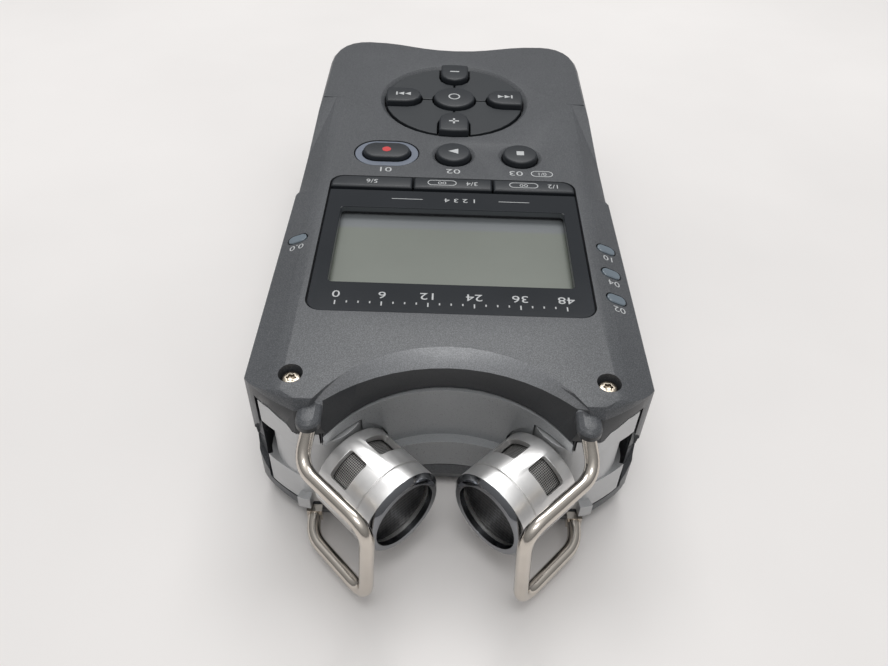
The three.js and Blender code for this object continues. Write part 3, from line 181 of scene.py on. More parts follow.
def build_flakes():
    """Metallic flakes in paint: a colour between two tones, smoother and raised where a flake lies."""
    flake_start, flake_full = 0.42, 0.78
    drift_scale = 38.0
    drift_start, drift_full = 0.3, 0.7
    drift_dark, drift_pale = 0.93, 1.05
    flake_roughness = -0.12
    depth = 0.00002
    group, given, result = new_group(
        "paint_flakes",
        [
            ("Base", "NodeSocketColor", (0.1, 0.1, 0.1, 1)),
            ("Flake", "NodeSocketColor", (0.3, 0.3, 0.3, 1)),
            ("Scale", "NodeSocketFloat", 3000.0),
            ("Roughness", "NodeSocketFloat", 0.4),
            ("Bump", "NodeSocketFloat", 0.1),
        ],
        [("Color", "NodeSocketColor"), ("Roughness", "NodeSocketFloat"), ("Normal", "NodeSocketVector")],
    )
    spot = add(group, "ShaderNodeTexCoord").outputs["Object"]
    grains = noise(group, spot, given["Scale"], Detail=2.0, Roughness=0.6)
    flakes = remap(group, grains, flake_start, flake_full)
    tone = blend(group, flakes, given["Base"], given["Flake"])
    broad = noise(group, spot, drift_scale, Detail=3.0)
    drift = remap(group, broad, drift_start, drift_full, drift_dark, drift_pale)
    wire(group, blend(group, 1.0, tone, drift, blend_type="MULTIPLY"), result["Color"])
    rough = reckon(group, "MULTIPLY_ADD", flakes, flake_roughness, given["Roughness"])
    wire(group, rough, result["Roughness"])
    wire(group, relief(group, given["Bump"], grains, depth), result["Normal"])
    return group


def build_handling():
    """Faint smudges: a roughness that drifts over the surface, with a slight change of tone."""
    middle = 0.5
    tone_change = 0.25
    depth = 0.00003
    group, given, result = new_group(
        "handling_marks",
        [
            ("Base", "NodeSocketColor", (0.1, 0.1, 0.1, 1)),
            ("Roughness", "NodeSocketFloat", 0.3),
            ("Spread", "NodeSocketFloat", 0.1),
            ("Scale", "NodeSocketFloat", 120.0),
            ("Bump", "NodeSocketFloat", 0.05),
        ],
        [("Color", "NodeSocketColor"), ("Roughness", "NodeSocketFloat"), ("Normal", "NodeSocketVector")],
    )
    spot = add(group, "ShaderNodeTexCoord").outputs["Object"]
    smear = noise(group, spot, given["Scale"], Detail=4.0, Roughness=0.55)
    centred = reckon(group, "SUBTRACT", smear, middle)
    rough = reckon(group, "MULTIPLY_ADD", centred, given["Spread"], given["Roughness"])
    level = reckon(group, "MULTIPLY_ADD", centred, tone_change, 1.0)
    wire(group, blend(group, 1.0, given["Base"], level, blend_type="MULTIPLY"), result["Color"])
    wire(group, rough, result["Roughness"])
    wire(group, relief(group, given["Bump"], smear, depth), result["Normal"])
    return group


def build_weave():
    """Woven wire over dark gaps, laid out by a piece's own map, whose unit is a metre."""
    crossing_lift, crossing_height = 0.25, 0.75
    wire_start, wire_full = 0.56, 0.8
    depth = 0.0001
    group, given, result = new_group(
        "woven_wire",
        [
            ("Map", "NodeSocketVector", None),
            ("Pitch", "NodeSocketFloat", 0.0005),
            ("Wire", "NodeSocketColor", (0.3, 0.3, 0.3, 1)),
            ("Gap", "NodeSocketColor", (0.01, 0.01, 0.01, 1)),
            ("Bump", "NodeSocketFloat", 0.6),
        ],
        [("Color", "NodeSocketColor"), ("Normal", "NodeSocketVector")],
    )
    spread = add(group, "ShaderNodeVectorMath", operation="SCALE")
    wire(group, given["Map"], spread.inputs["Vector"])
    wire(group, reckon(group, "DIVIDE", math.pi, given["Pitch"]), spread.inputs["Scale"])
    waves = add(group, "ShaderNodeVectorMath", operation="SINE")
    wire(group, spread.outputs["Vector"], waves.inputs[0])
    parts = add(group, "ShaderNodeSeparateXYZ")
    wire(group, waves.outputs["Vector"], parts.inputs["Vector"])
    over_under = reckon(group, "MULTIPLY", parts.outputs["X"], parts.outputs["Y"])
    heights = []
    for axis, lift in (("X", crossing_lift), ("Y", -crossing_lift)):
        round_wire = reckon(group, "ABSOLUTE", parts.outputs[axis])
        crossing = reckon(group, "MULTIPLY_ADD", over_under, lift, crossing_height)
        heights.append(reckon(group, "MULTIPLY", round_wire, crossing))
    top = reckon(group, "MAXIMUM", *heights)
    solid = remap(group, top, wire_start, wire_full)
    wire(group, blend(group, solid, given["Gap"], given["Wire"]), result["Color"])
    wire(group, relief(group, given["Bump"], top, depth), result["Normal"])
    return group


FLAKES = build_flakes()
HANDLING = build_handling()
WEAVE = build_weave()


# Finishes

def rgb(red, green, blue):
    """A tone in steps of 255, taken through the standard display curve, as the renderer needs it."""
    toe_end, toe_slope = 0.04045, 12.92
    offset, power = 0.055, 2.4

    def linear(step):
        share = step / 255
        return share / toe_slope if share <= toe_end else ((share + offset) / (1 + offset)) ** power

    return (linear(red), linear(green), linear(blue), 1.0)


def shader(name, metallic=0.0, **values):
    material = bpy.data.materials.new(name)
    material.use_nodes = True
    surface = material.node_tree.nodes["Principled BSDF"]
    surface.inputs["Metallic"].default_value = metallic
    for key, value in values.items():
        surface.inputs[key.replace("_", " ")].default_value = value
    return material, material.node_tree, surface


def join_effect(tree, surface, group, **given):
    """Adds a shared effect and wires all that it gives to the surface."""
    effect = add(tree, "ShaderNodeGroup", node_tree=group)
    for key, value in given.items():
        effect.inputs[key].default_value = value
    for output in effect.outputs:
        target = "Base Color" if output.name == "Color" else output.name
        wire(tree, output, surface.inputs[target])
    return effect


def painted(name, base, flake, scale, roughness, bump, metallic=0.0, **extra):
    """Paint with metallic flakes."""
    material, tree, surface = shader(name, metallic, **extra)
    join_effect(tree, surface, FLAKES, Base=base, Flake=flake, Scale=scale, Roughness=roughness, Bump=bump)
    return material


def plain(name, base, roughness, metallic=0.0, spread=0.12, scale=160.0, bump=0.05, **extra):
    """Plastic, rubber, metal or ink with faint smudges."""
    material, tree, surface = shader(name, metallic, **extra)
    join_effect(
        tree, surface, HANDLING, Base=base, Roughness=roughness, Spread=spread, Scale=scale, Bump=bump,
    )
    return material


def woven(name, wire_tone, gap_tone, pitch, roughness, metallic):
    """Woven wire; the pitch is in metres."""
    material, tree, surface = shader(name, metallic, Roughness=roughness)
    own_map = add(tree, "ShaderNodeUVMap", uv_map="weave")
    effect = join_effect(tree, surface, WEAVE, Wire=wire_tone, Gap=gap_tone, Pitch=pitch)
    wire(tree, own_map.outputs["UV"], effect.inputs["Map"])
    return material


def lcd_film():
    """The panel's film, with painted shade: a cooler tone in the strip that lies in the shade of its far edge.
    """
    shade_start, shade_full = 5.4, 4.4
    tone = rgb(113, 118, 110)
    painted_shade_tone = rgb(112, 116, 118)
    material = plain("lcd_film", tone, 0.35, spread=0.06, scale=40, bump=0.02, Coat_Weight=0.4)
    tree = material.node_tree
    effect = next(node for node in tree.nodes if node.type == "GROUP")
    split = add(tree, "ShaderNodeSeparateXYZ")
    wire(tree, add(tree, "ShaderNodeTexCoord").outputs["Object"], split.inputs["Vector"])
    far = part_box("lcd_panel")[1].y
    shade = remap(tree, split.outputs["Y"], far - shade_start * MM, far - shade_full * MM)
    wire(tree, blend(tree, shade, tone, painted_shade_tone), effect.inputs["Base"])
    return material


# Painted highlight: a paler copy of the casing paint for the slope round the bay, standing in for the light
# that falls on it
BROW = painted("brow_painted_highlight", rgb(120, 122, 125), rgb(162, 164, 167), scale=5200, roughness=0.34, bump=0.3)
# Painted shade: a darker copy of the casing paint for the wall under the brow and the hollows beside the
# folded barrels
BAY_SHADE = painted("bay_painted_shade", rgb(40, 42, 45), rgb(50, 52, 55), scale=5200, roughness=0.36, bump=0.05)
PLATE = plain("plate_plastic", rgb(41, 45, 49), 0.46, spread=0.1, scale=900, bump=0.25)
WINDOW = plain(
    "window_border", rgb(40, 43, 47), 0.14, spread=0.05, scale=60, bump=0.0, Specular_IOR_Level=0.3,
)
WINDOW_WALL = plain("window_wall", rgb(88, 92, 95), 0.3, spread=0.05, scale=60, bump=0.0)
STEEL = plain("plated_steel", rgb(166, 157, 144), 0.26, metallic=1.0, spread=0.2, scale=300)
POLISH = plain("polished_rim", rgb(138, 140, 144), 0.1, metallic=1.0, spread=0.15, scale=200)
TURRET = plain("satin_turret", rgb(190, 191, 192), 0.42, metallic=0.7, spread=0.2, scale=200, bump=0.1)
MESH = woven("woven_mesh", rgb(176, 175, 173), rgb(5, 5, 6), pitch=0.00036, roughness=0.35, metallic=0.7)
# The screens' fronts: a coarser weave, partly real, with its wire darkened as painted shade inside the rim
FRONT_GRILLE_AND_SHADE = woven("front_grille_painted_shade", rgb(26, 28, 32), rgb(7, 7, 8), pitch=0.0009, roughness=0.4, metallic=0.3)
INK = plain("light_ink", rgb(190, 192, 193), 0.5, spread=0.1, scale=800)
RED = plain("red_ink", rgb(205, 60, 62), 0.45, spread=0.1, scale=800)

FINISHES = {
    "casing_paint": painted(
        "casing_paint", rgb(76, 78, 81), rgb(112, 114, 117),
        scale=5200, roughness=0.38, bump=0.3, Specular_IOR_Level=0.35,
    ),
    "frame_metal": painted(
        "frame_paint", rgb(150, 152, 154), rgb(164, 166, 168),
        scale=4200, roughness=0.34, bump=0.05, metallic=0.3,
    ),
    "nickel_wire": plain(
        "nickel_wire", rgb(206, 199, 190), 0.15, metallic=1.0, spread=0.25, scale=220, bump=0.1,
    ),
    "window": WINDOW,
    "lcd": lcd_film(),
    "board": plain("solder_mask", rgb(24, 74, 46), 0.4),
    "mat": plain("key_mat_rubber", rgb(120, 122, 124), 0.7),
    "light_ring": plain("light_ring_plastic", rgb(116, 123, 136), 0.3, spread=0.1),
    "lens": plain("lens_plastic", rgb(114, 125, 134), 0.22, spread=0.1, scale=300),
    "steel": STEEL,
    "jack_plastic": plain("socket_plastic", rgb(34, 35, 37), 0.45, spread=0.15, scale=400, bump=0.15),
    "thread_brass": plain("turned_brass", rgb(190, 158, 98), 0.3, metallic=1.0),
    "cell_case": plain("cell_sleeve", rgb(58, 62, 66), 0.3, spread=0.2),
    "silver": plain("satin_silver", rgb(236, 235, 234), 0.34, metallic=0.92, scale=420, bump=0.02),
    "dark_mesh": MESH,
    "capsule": plain("capsule_metal", rgb(150, 132, 92), 0.35, metallic=0.9),
    "key_plastic": plain("key_plastic", rgb(35, 39, 44), 0.42, spread=0.1, scale=900, bump=0.25),
}


def dress(thing, material):
    thing.data.materials.clear()
    thing.data.materials.append(material)


for node_name, node_object in frame["nodes"].items():
    dress(node_object, FINISHES[SLOT_OF[node_name]])


# Pieces with eased edges

# Corners closer than this, in metres, are one
WELD = 1e-6
# Faces that turn less than this against each other are one flat
FLAT_TURN = 0.4


def piece_from(work, name, material, body, slot=None, smooth=28):
    """Turns a bmesh into a piece that rides on a body, shaded smooth over edges that turn less than given."""
    mesh = bpy.data.meshes.new(name)
    for face in work.faces:
        face.smooth = True
    for edge in work.edges:
        if len(edge.link_faces) == 2:
            edge.smooth = edge.calc_face_angle(0) < math.radians(smooth)
    work.to_mesh(mesh)
    work.free()
    thing = bpy.data.objects.new(name, mesh)
    bpy.context.scene.collection.objects.link(thing)
    mesh.materials.append(material)
    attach(thing, body)
    return thing


def eased_copy(node, edge, corner=30, material=None, smooth=20):
    """A piece in the shape of a node, its edges rounded where they turn more than a corner."""
    work = bmesh.new()
    work.from_mesh(frame["nodes"][node].data)
    bmesh.ops.remove_doubles(work, verts=work.verts, dist=WELD)
    bmesh.ops.dissolve_limit(
        work, angle_limit=math.radians(FLAT_TURN), verts=work.verts, edges=work.edges,
        use_dissolve_boundaries=False,
    )
    if edge:
        limit = math.radians(corner)
        sharp = [item for item in work.edges if len(item.link_faces) == 2 and item.calc_face_angle(0) > limit]
        bmesh.ops.bevel(
            work, geom=sharp, offset=edge * MM, offset_type="OFFSET", segments=2,
            affect="EDGES", profile=0.5, material=-1, clamp_overlap=True,
        )
    slot = SLOT_OF[node]
    thing = piece_from(work, node + "_finish", material or FINISHES[slot], BODY_OF[node], slot, smooth)
    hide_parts(node)
    return thing


EASED = {
    "front_shell": dict(edge=0.3, smooth=18),
    "rear_shell": dict(edge=0.2, smooth=18),
    "chin_frame": dict(edge=0.15),
    "record_light_ring": dict(edge=0.1),
    "battery_door": dict(edge=0.15),
    "card_door": dict(edge=0.12),
    "volume_rocker": dict(edge=0.3),
    "level_rocker": dict(edge=0.3),
    "hold_switch": dict(edge=0.12),
    "phones_jack": dict(edge=0.12),
    "power_jack": dict(edge=0.12),
    "tripod_nut": dict(edge=0.15),
}
for side in SIDES:
    EASED["mic_turret_" + side] = dict(edge=0.25, material=TURRET)
    EASED["guard_" + side] = dict(edge=0.0, smooth=50)
    EASED["combo_jack_" + side] = dict(edge=0.15)
for name in ("play", "stop", "record", "enter", "plus", "minus", "left", "right"):
    EASED[name + "_key"] = dict(edge=0.2, corner=25)
for count in range(4):
    EASED[f"plate_key_{count + 1}"] = dict(edge=0.15, material=PLATE)
for count in range(3):
    EASED[f"function_key_{count + 1}"] = dict(edge=0.15, corner=25)
finished = {node_name: eased_copy(node_name, **how) for node_name, how in EASED.items()}


def refinish(thing, material, chosen):
    """Gives another finish to the faces picked by a rule of their middle and their outward direction."""
    thing.data.materials.append(material)
    for face in thing.data.polygons:
        if chosen(face.center, face.normal):
            face.material_index = len(thing.data.materials) - 1


# Rings and bands of new pieces

def rounded_place(way, half, tall, near, far):
    """Where a point of a unit circle lies on a box with round corners, one radius at each end."""
    on_axis = 1e-6
    corner = far if way.y > 0 else near
    return Vector((
        math.copysign(half - corner, way.x) * (abs(way.x) > on_axis) + corner * way.x,
        math.copysign(tall - corner, way.y) * (abs(way.y) > on_axis) + corner * way.y,
        0,
    ))


def ring_of(work, count, place):
    """A ring of edges whose points are moved from a unit circle to their places, in millimetres."""
    made = bmesh.ops.create_circle(work, cap_ends=False, segments=count, radius=1)
    edges = list({edge for vert in made["verts"] for edge in vert.link_edges})
    for vert in made["verts"]:
        vert.co = place(vert.co.copy()) * MM
    return edges


def pull(work, edges, shape):
    """Draws a ring of edges out into a band, and moves each new point by a rule, in metres."""
    grown = bmesh.ops.extrude_edge_only(work, edges=edges)["geom"]
    fresh = {item for item in grown if isinstance(item, bmesh.types.BMVert)}
    for vert in fresh:
        vert.co = shape(vert.co.copy())
    linked = {edge for vert in fresh for edge in vert.link_edges}
    return [edge for edge in linked if edge.verts[0] in fresh and edge.verts[1] in fresh]


def window_border():
    """The glossy cover, open over the panel that lies below it."""
    overlap = 0.6
    near_corner, far_corner = 2.9, 0.3
    opening_corner = 1.0
    rim_round = 0.15
    rim_turn = 1.2
    upright = 0.3
    slack = 0.01
    wall_slack = 0.1
    points = 64
    low, high = (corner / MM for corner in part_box("display_window"))
    panel_low, panel_high = (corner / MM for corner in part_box("lcd_panel"))
    middle = (low + high) / 2
    seen_low = panel_low + Vector((overlap, overlap, 0))
    seen_high = panel_high - Vector((overlap, overlap, 0))
    seen_middle = (seen_low + seen_high) / 2
    outside = (high - low) / 2
    inside = (seen_high - seen_low) / 2
    work = bmesh.new()

    def outer(way):
        flat = rounded_place(way, outside.x, outside.y, near_corner, far_corner)
        return Vector((flat.x + middle.x, flat.y + middle.y, high.z))

    def inner(way):
        flat = rounded_place(way, inside.x, inside.y, opening_corner, opening_corner)
        return Vector((flat.x + seen_middle.x, flat.y + seen_middle.y, high.z))

    def on_wall(centre, normal):
        across = abs(centre.x / MM - seen_middle.x) < inside.x + wall_slack
        along = abs(centre.y / MM - seen_middle.y) < inside.y + wall_slack
        return abs(normal.z) < upright and across and along

    outline = ring_of(work, points, outer)
    opening = ring_of(work, points, inner)
    bmesh.ops.bridge_loops(work, edges=outline + opening)
    bmesh.ops.extrude_face_region(work, geom=list(work.faces))
    lower = list(work.verts)[len(work.verts) // 2:]
    bmesh.ops.translate(work, verts=lower, vec=(0, 0, (low.z - high.z) * MM))
    bmesh.ops.recalc_face_normals(work, faces=work.faces)
    rims = [
        edge for edge in work.edges
        if len(edge.link_faces) == 2 and edge.calc_face_angle(0) > rim_turn
        and min(vert.co.z for vert in edge.verts) > (high.z - slack) * MM
    ]
    bmesh.ops.bevel(
        work, geom=rims, offset=rim_round * MM, segments=2, affect="EDGES", profile=0.5, material=-1,
    )
    border = piece_from(work, "window_border", WINDOW, "casing", "window", smooth=15)
    refinish(border, WINDOW_WALL, on_wall)
    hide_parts("display_window")


# Screws: depths below the top of the head, and shares of the head's half width

SCREW_POINTS = 48
SCREW_LOBES = 6
SCREW_RIM_DEPTH = 0.35
SCREW_HEAD_DEPTH = 1.05
SCREW_SHANK_SHARE = 0.5
SCREW_TIP_GAP = 0.02
# Rings from the rim to the middle of the recess: share, depth, and the share by which the lobes swell
SCREW_RECESS = (
    (0.93, 0.12, 0.0),
    (0.78, 0.0, 0.0),
    (0.48, 0.0, 0.16),
    (0.44, 0.55, 0.16),
    (0.1, 0.62, 0.0),
)


def lobed_screw(node, way=1):
    """A screw with a domed head and a six-lobed recess, its head up or down."""
    low, high = (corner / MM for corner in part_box(node))
    middle = (low + high) / 2
    head = (high.x - low.x) / 2
    top = high.z if way > 0 else -low.z
    shank = (
        (1, SCREW_HEAD_DEPTH, 0.0),
        (SCREW_SHANK_SHARE, SCREW_HEAD_DEPTH, 0.0),
        (SCREW_SHANK_SHARE, high.z - low.z - SCREW_TIP_GAP, 0.0),
    )

    def at(share, drop, lobes=0.0):
        def shape(spot):
            flat = Vector((spot.x, spot.y, 0)).normalized()
            turn = math.atan2(flat.y, flat.x)
            reach = head * share * (1 + lobes * math.cos(SCREW_LOBES * turn))
            return Vector((flat.x * reach, flat.y * reach, top - drop)) * MM
        return shape

    work = bmesh.new()
    rim = ring_of(work, SCREW_POINTS, lambda spot: at(1, SCREW_RIM_DEPTH)(spot) / MM)
    for steps in (SCREW_RECESS, shank):
        ring = rim
        for step in steps:
            ring = pull(work, ring, at(*step))
        bmesh.ops.contextual_create(work, geom=ring)
    bmesh.ops.recalc_face_normals(work, faces=work.faces)
    if way < 0:
        bmesh.ops.rotate(work, verts=work.verts, cent=(0, 0, 0), matrix=Matrix.Rotation(math.pi, 3, "X"))
    bmesh.ops.translate(work, verts=work.verts, vec=Vector((middle.x, middle.y, 0)) * MM)
    screw = piece_from(work, node + "_finish", STEEL, "casing", "steel")
    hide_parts(node)


# Finishes round the bay, with a painted highlight on the brow and painted shade under it and beside the
# barrels, picked by depth below the face, place along the casing and slope

BAY_START = -44
BOSS_START = -57
BROW_HALF = 27
BROW_DEPTH = 2.6
WALL_TOP_DEPTH = 1.9
WALL_FOOT_DEPTH = 7.3
BARREL_START, BARREL_END = 6, 20
BARREL_HOLLOW = 9.1
POLISHED_RIM = 1.3
MESH_RADIUS = 6.9


def along_barrel(side):
    """The pivot of a microphone and the direction in which its barrel points at rest."""
    pivot = JOINT_PLACE[f"mic_{side}_swing"]
    inward = -1 if side == "right" else 1
    return pivot, Vector((inward, -1, 0)).normalized()


def beside_barrel(centre, normal):
    """Whether a face lies along the hollow that a folded barrel fills, where painted shade goes."""
    most_facing = 0.5
    for side in SIDES:
        pivot, ahead = along_barrel(side)
        offset = centre - pivot
        run = offset @ ahead
        beside = (offset - ahead * run).length < BARREL_HOLLOW * MM
        if BARREL_START * MM < run < BARREL_END * MM and beside:
            return abs(normal @ ahead) < most_facing
    return False


def near_wall(centre, normal):
    """Whether a face belongs to the wall under the brow, which takes painted shade."""
    steep_under_brow, steep_on_brow = 0.6, 0.25
    most_sideways = 0.96
    height = centre.z / MM
    steep = steep_under_brow if height < FACE - BROW_DEPTH else steep_on_brow
    return (
        FACE - WALL_FOOT_DEPTH < height < FACE - WALL_TOP_DEPTH and centre.y / MM < BAY_START
        and abs(normal.z) < steep and abs(normal.x) < most_sideways
    )


def on_brow(centre, normal):
    """Whether a face belongs to the slope that runs round the bay."""
    steepest, flattest = 0.25, 0.965
    return (
        centre.z / MM > FACE - BROW_DEPTH and BOSS_START < centre.y / MM < BAY_START
        and abs(centre.x) / MM < BROW_HALF and steepest < normal.z < flattest
    )


def paint_bay_light_and_shade():
    # Painted highlight on the brow slope, painted shade on the wall under it and in the hollows beside the
    # barrels
    refinish(finished["front_shell"], BROW, on_brow)
    refinish(
        finished["front_shell"], BAY_SHADE,
        lambda centre, normal: near_wall(centre, normal) or beside_barrel(centre, normal),
    )
    refinish(finished["chin_frame"], BAY_SHADE, beside_barrel)


def barrel_finish(side):
    """Satin barrel with a polished rim."""
    barrel = eased_copy("mic_barrel_" + side, edge=0.1)
    pivot, ahead = along_barrel(side)
    reach = max((vert.co - pivot) @ ahead for vert in barrel.data.vertices)
    refinish(barrel, POLISH, lambda centre, normal: (centre - pivot) @ ahead > reach - POLISHED_RIM * MM)


def mesh_finish(side):
    """The woven screen, with a map that runs round its wall and flat over its front, whose coarser weave is
    darkened as painted shade.
    """
    node = "mic_mesh_" + side
    least_facing = 0.7
    work = bmesh.new()
    work.from_mesh(frame["nodes"][node].data)
    bmesh.ops.remove_doubles(work, verts=work.verts, dist=WELD)
    weave = work.loops.layers.uv.new("weave")
    pivot, ahead = along_barrel(side)
    across = ahead.cross(Vector((0, 0, 1)))
    for face in work.faces:
        flat = abs(face.normal @ ahead) > least_facing
        face.material_index = int(flat)
        centre = face.calc_center_median() - pivot
        facing = math.atan2(centre.z, centre @ across)
        for loop in face.loops:
            spot = loop.vert.co - pivot
            turn = math.atan2(spot.z, spot @ across) - facing
            turn = (turn + math.pi) % (2 * math.pi) - math.pi
            if flat:
                loop[weave].uv = (spot @ across, spot.z)
            else:
                loop[weave].uv = ((facing + turn) * MESH_RADIUS * MM, spot @ ahead)
    piece = piece_from(work, node + "_finish", MESH, BODY_OF[node], "dark_mesh")
    piece.data.materials.append(FRONT_GRILLE_AND_SHADE)
    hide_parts(node)


window_border()
paint_bay_light_and_shade()
for side in SIDES:
    lobed_screw("face_screw_" + side)
    lobed_screw("back_screw_" + side, way=-1)
    barrel_finish(side)
    mesh_finish(side)


# Printed marks: each is a thin raised print, turned to be read from the far end

PRINT = 0.03
PRINT_GAP = 0.01
SLOPE_PRINT_GAP = 0.02
SIDE_INSET = 1.2
SIDE = SHOULDER - SIDE_INSET
SLOPE_RUN = 6.0
SLOPE_DROP = 2.5
CAPITAL_SHARE = 0.72
ROUND_POINTS = 32
# Points of a figure's outline closer than this, in metres, are one
TEXT_WELD = 1e-7


def spot_at(x, y, z):
    return Matrix.Translation(Vector((x, y, z)) * MM)


def turned(degrees):
    return Matrix.Rotation(math.radians(degrees), 4, "Z")


def over(node, right=0.0, ahead=0.0, turn=180.0):
    """A place on top of a node, measured from the middle of its top."""
    low, high = (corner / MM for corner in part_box(node))
    middle = (low + high) / 2
    return spot_at(middle.x + right, middle.y + ahead, high.z + PRINT_GAP) @ turned(turn)


def on_face(x, y):
    """A place on the casing's face."""
    return spot_at(x, y, FACE + PRINT_GAP) @ turned(180)


def on_slope(x, y):
    """A place on the sloped strip beside the display."""
    fall = SLOPE_DROP / SLOPE_RUN
    down = fall * (abs(x) - SHOULDER + SLOPE_RUN)
    lean = Matrix.Rotation(math.copysign(math.atan(fall), x), 4, "Y")
    return spot_at(x, y, FACE - down + SLOPE_PRINT_GAP) @ lean @ turned(180)


def on_side(sign, y, z):
    """A place on the upright side of the casing, beyond its step."""
    return spot_at(sign * (SIDE + PRINT_GAP), y, z) @ turned(90 * sign) @ Matrix.Rotation(math.pi / 2, 4, "X")


def raise_print(work):
    """Gives flat faces the thickness of ink."""
    flat = list(work.faces)
    grown = bmesh.ops.extrude_face_region(work, geom=flat)["geom"]
    tops = [item for item in grown if isinstance(item, bmesh.types.BMVert)]
    bmesh.ops.translate(work, verts=tops, vec=(0, 0, PRINT * MM))
    bmesh.ops.recalc_face_normals(work, faces=work.faces)


def polygon(work, corners):
    """A flat face through its corners."""
    ring = [work.verts.new(Vector((x, y, 0)) * MM) for x, y in corners]
    return work.faces.new(ring)


def bar(work, x, y, width, height):
    return polygon(work, [
        (x - width / 2, y - height / 2),
        (x + width / 2, y - height / 2),
        (x + width / 2, y + height / 2),
        (x - width / 2, y + height / 2),
    ])


def disc(work, radius):
    bmesh.ops.create_circle(work, cap_ends=True, segments=ROUND_POINTS, radius=radius * MM)


def pill_ring(work, half, tall, line):
    """An outlined box with round ends."""
    outer = ring_of(work, ROUND_POINTS, lambda way: rounded_place(way, half, tall, tall, tall))
    pull(work, outer, lambda spot: Vector((spot.x * (half - line) / half, spot.y * (tall - line) / tall, 0)))


def print_on(work, name, body, place, material):
    """Raises flat faces as a print and sets it in its place."""
    raise_print(work)
    bmesh.ops.transform(work, matrix=place, verts=work.verts)
    return piece_from(work, name, material, body)


def mark(name, draw, body, place, material=INK):
    """A sign drawn by a function."""
    work = bmesh.new()
    draw(work)
    return print_on(work, name, body, place, material)


def numeral(name, words, body, place, height, wide=1.0):
    """Plain figures, drawn as text and made a mesh."""
    text = bpy.data.curves.new(name, "FONT")
    text.body = words
    text.size = height * MM / CAPITAL_SHARE
    text.align_x = "CENTER"
    text.align_y = "CENTER"
    text.resolution_u = 3
    holder = bpy.data.objects.new(name, text)
    bpy.context.scene.collection.objects.link(holder)
    bpy.context.view_layer.update()
    flat = bpy.data.meshes.new_from_object(holder)
    bpy.data.objects.remove(holder)
    work = bmesh.new()
    work.from_mesh(flat)
    bmesh.ops.remove_doubles(work, verts=work.verts, dist=TEXT_WELD)
    bmesh.ops.scale(work, vec=(wide, 1, 1), verts=work.verts)
    return print_on(work, name, body, place, INK)


def key_marks():
    """Signs on the transport keys and on the pad."""
    dot = 1.0
    arrow_back, arrow_tip, arrow_half = -1.1, 1.2, 1.1
    square = 1.7
    line, length = 0.5, 2.4
    shift = 0.2
    ring, ring_line = 1.5, 0.35
    mark("record_dot", lambda work: disc(work, dot), "record_key_body", over("record_key"), RED)
    mark(
        "play_arrow",
        lambda work: polygon(work, [(arrow_back, -arrow_half), (arrow_tip, 0), (arrow_back, arrow_half)]),
        "play_key_body", over("play_key"),
    )
    mark("stop_square", lambda work: bar(work, 0, 0, square, square), "stop_key_body", over("stop_key"))
    plus_place = over("plus_key", ahead=-shift)
    mark("plus_bar", lambda work: bar(work, 0, 0, length, line), "plus_key_body", plus_place)
    mark("plus_post", lambda work: bar(work, 0, 0, line, length), "plus_key_body", plus_place)
    minus_place = over("minus_key", ahead=shift)
    mark("minus_bar", lambda work: bar(work, 0, 0, length, line), "minus_key_body", minus_place)
    skip_marks()
    enter_place = over("enter_key")
    mark("enter_ring", lambda work: pill_ring(work, ring, ring, ring_line), "enter_key_body", enter_place)


def skip_marks():
    """Two arrows and a post on the left and right keys."""
    arrows_at = (-1.35, 0.35)
    arrow_half_run, arrow_half = 0.75, 0.8
    post_at, post_width, post_height = 1.45, 0.4, 1.6
    outward = 0.3

    def skip(work):
        for at in arrows_at:
            polygon(work, [
                (at - arrow_half_run, -arrow_half),
                (at + arrow_half_run, 0),
                (at - arrow_half_run, arrow_half),
            ])
        bar(work, post_at, 0, post_width, post_height)

    mark("skip_sign_right", skip, "right_key_body", over("right_key", right=outward, turn=0))
    mark("skip_sign_left", skip, "left_key_body", over("left_key", right=-outward))


def function_marks():
    """Figures and outlined boxes on the function keys."""
    height, box_height = 1.5, 1.0
    box_half, box_tall, box_line = 3.2, 1.0, 0.18
    rows = ((3, "1/2", 4.4, -2.2), (2, "3/4", 4.2, -2.4), (1, "5/6", 0.0, None))
    for count, words, figures_at, box_at in rows:
        node = f"function_key_{count}"
        numeral(f"track_figures_{count}", words, node + "_body", over(node, right=figures_at), height)
        if box_at is not None:
            place = over(node, right=box_at)
            mark(
                f"track_box_{count}", lambda work: pill_ring(work, box_half, box_tall, box_line),
                node + "_body", place,
            )
            numeral(f"track_box_figures_{count}", "00", node + "_body", place, box_height, wide=1.4)


def face_marks():
    """Figures beside the keys and the lenses."""
    key_gap, key_height = 2.9, 1.8
    stop_shift = -1.3
    power_shift, power_height = 4.6, 1.2
    box_half, box_tall, box_line = 2.5, 1.15, 0.2
    lens_gap, lens_height, lens_wide = 1.6, 1.5, 1.3
    status_shift = 0.4
    near_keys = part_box("play_key")[0].y / MM - key_gap
    record_x, play_x, stop_x = (
        (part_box(node)[0].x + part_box(node)[1].x) / 2 / MM for node in ("record_key", "play_key", "stop_key")
    )
    for x, words in ((record_x, "01"), (play_x, "02"), (stop_x + stop_shift, "03")):
        numeral("key_figure_" + words, words, "casing", on_face(x, near_keys), key_height, wide=1.35)
    power_place = on_face(stop_x + power_shift, near_keys)
    mark("power_box", lambda work: pill_ring(work, box_half, box_tall, box_line), "casing", power_place)
    numeral("power_figures", "0/1", "casing", power_place, power_height)
    low, high = (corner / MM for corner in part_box("peak_lens"))
    place = on_slope(low.x / 2 + high.x / 2, low.y - lens_gap)
    numeral("peak_figures", "0.0", "casing", place, lens_height, lens_wide)
    for count, words in ((1, "10"), (2, "04"), (3, "02")):
        low, high = (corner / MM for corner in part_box(f"status_lens_{count}"))
        place = on_slope(low.x / 2 + high.x / 2 + status_shift, low.y - lens_gap)
        numeral("status_figures_" + words, words, "casing", place, lens_height, lens_wide)


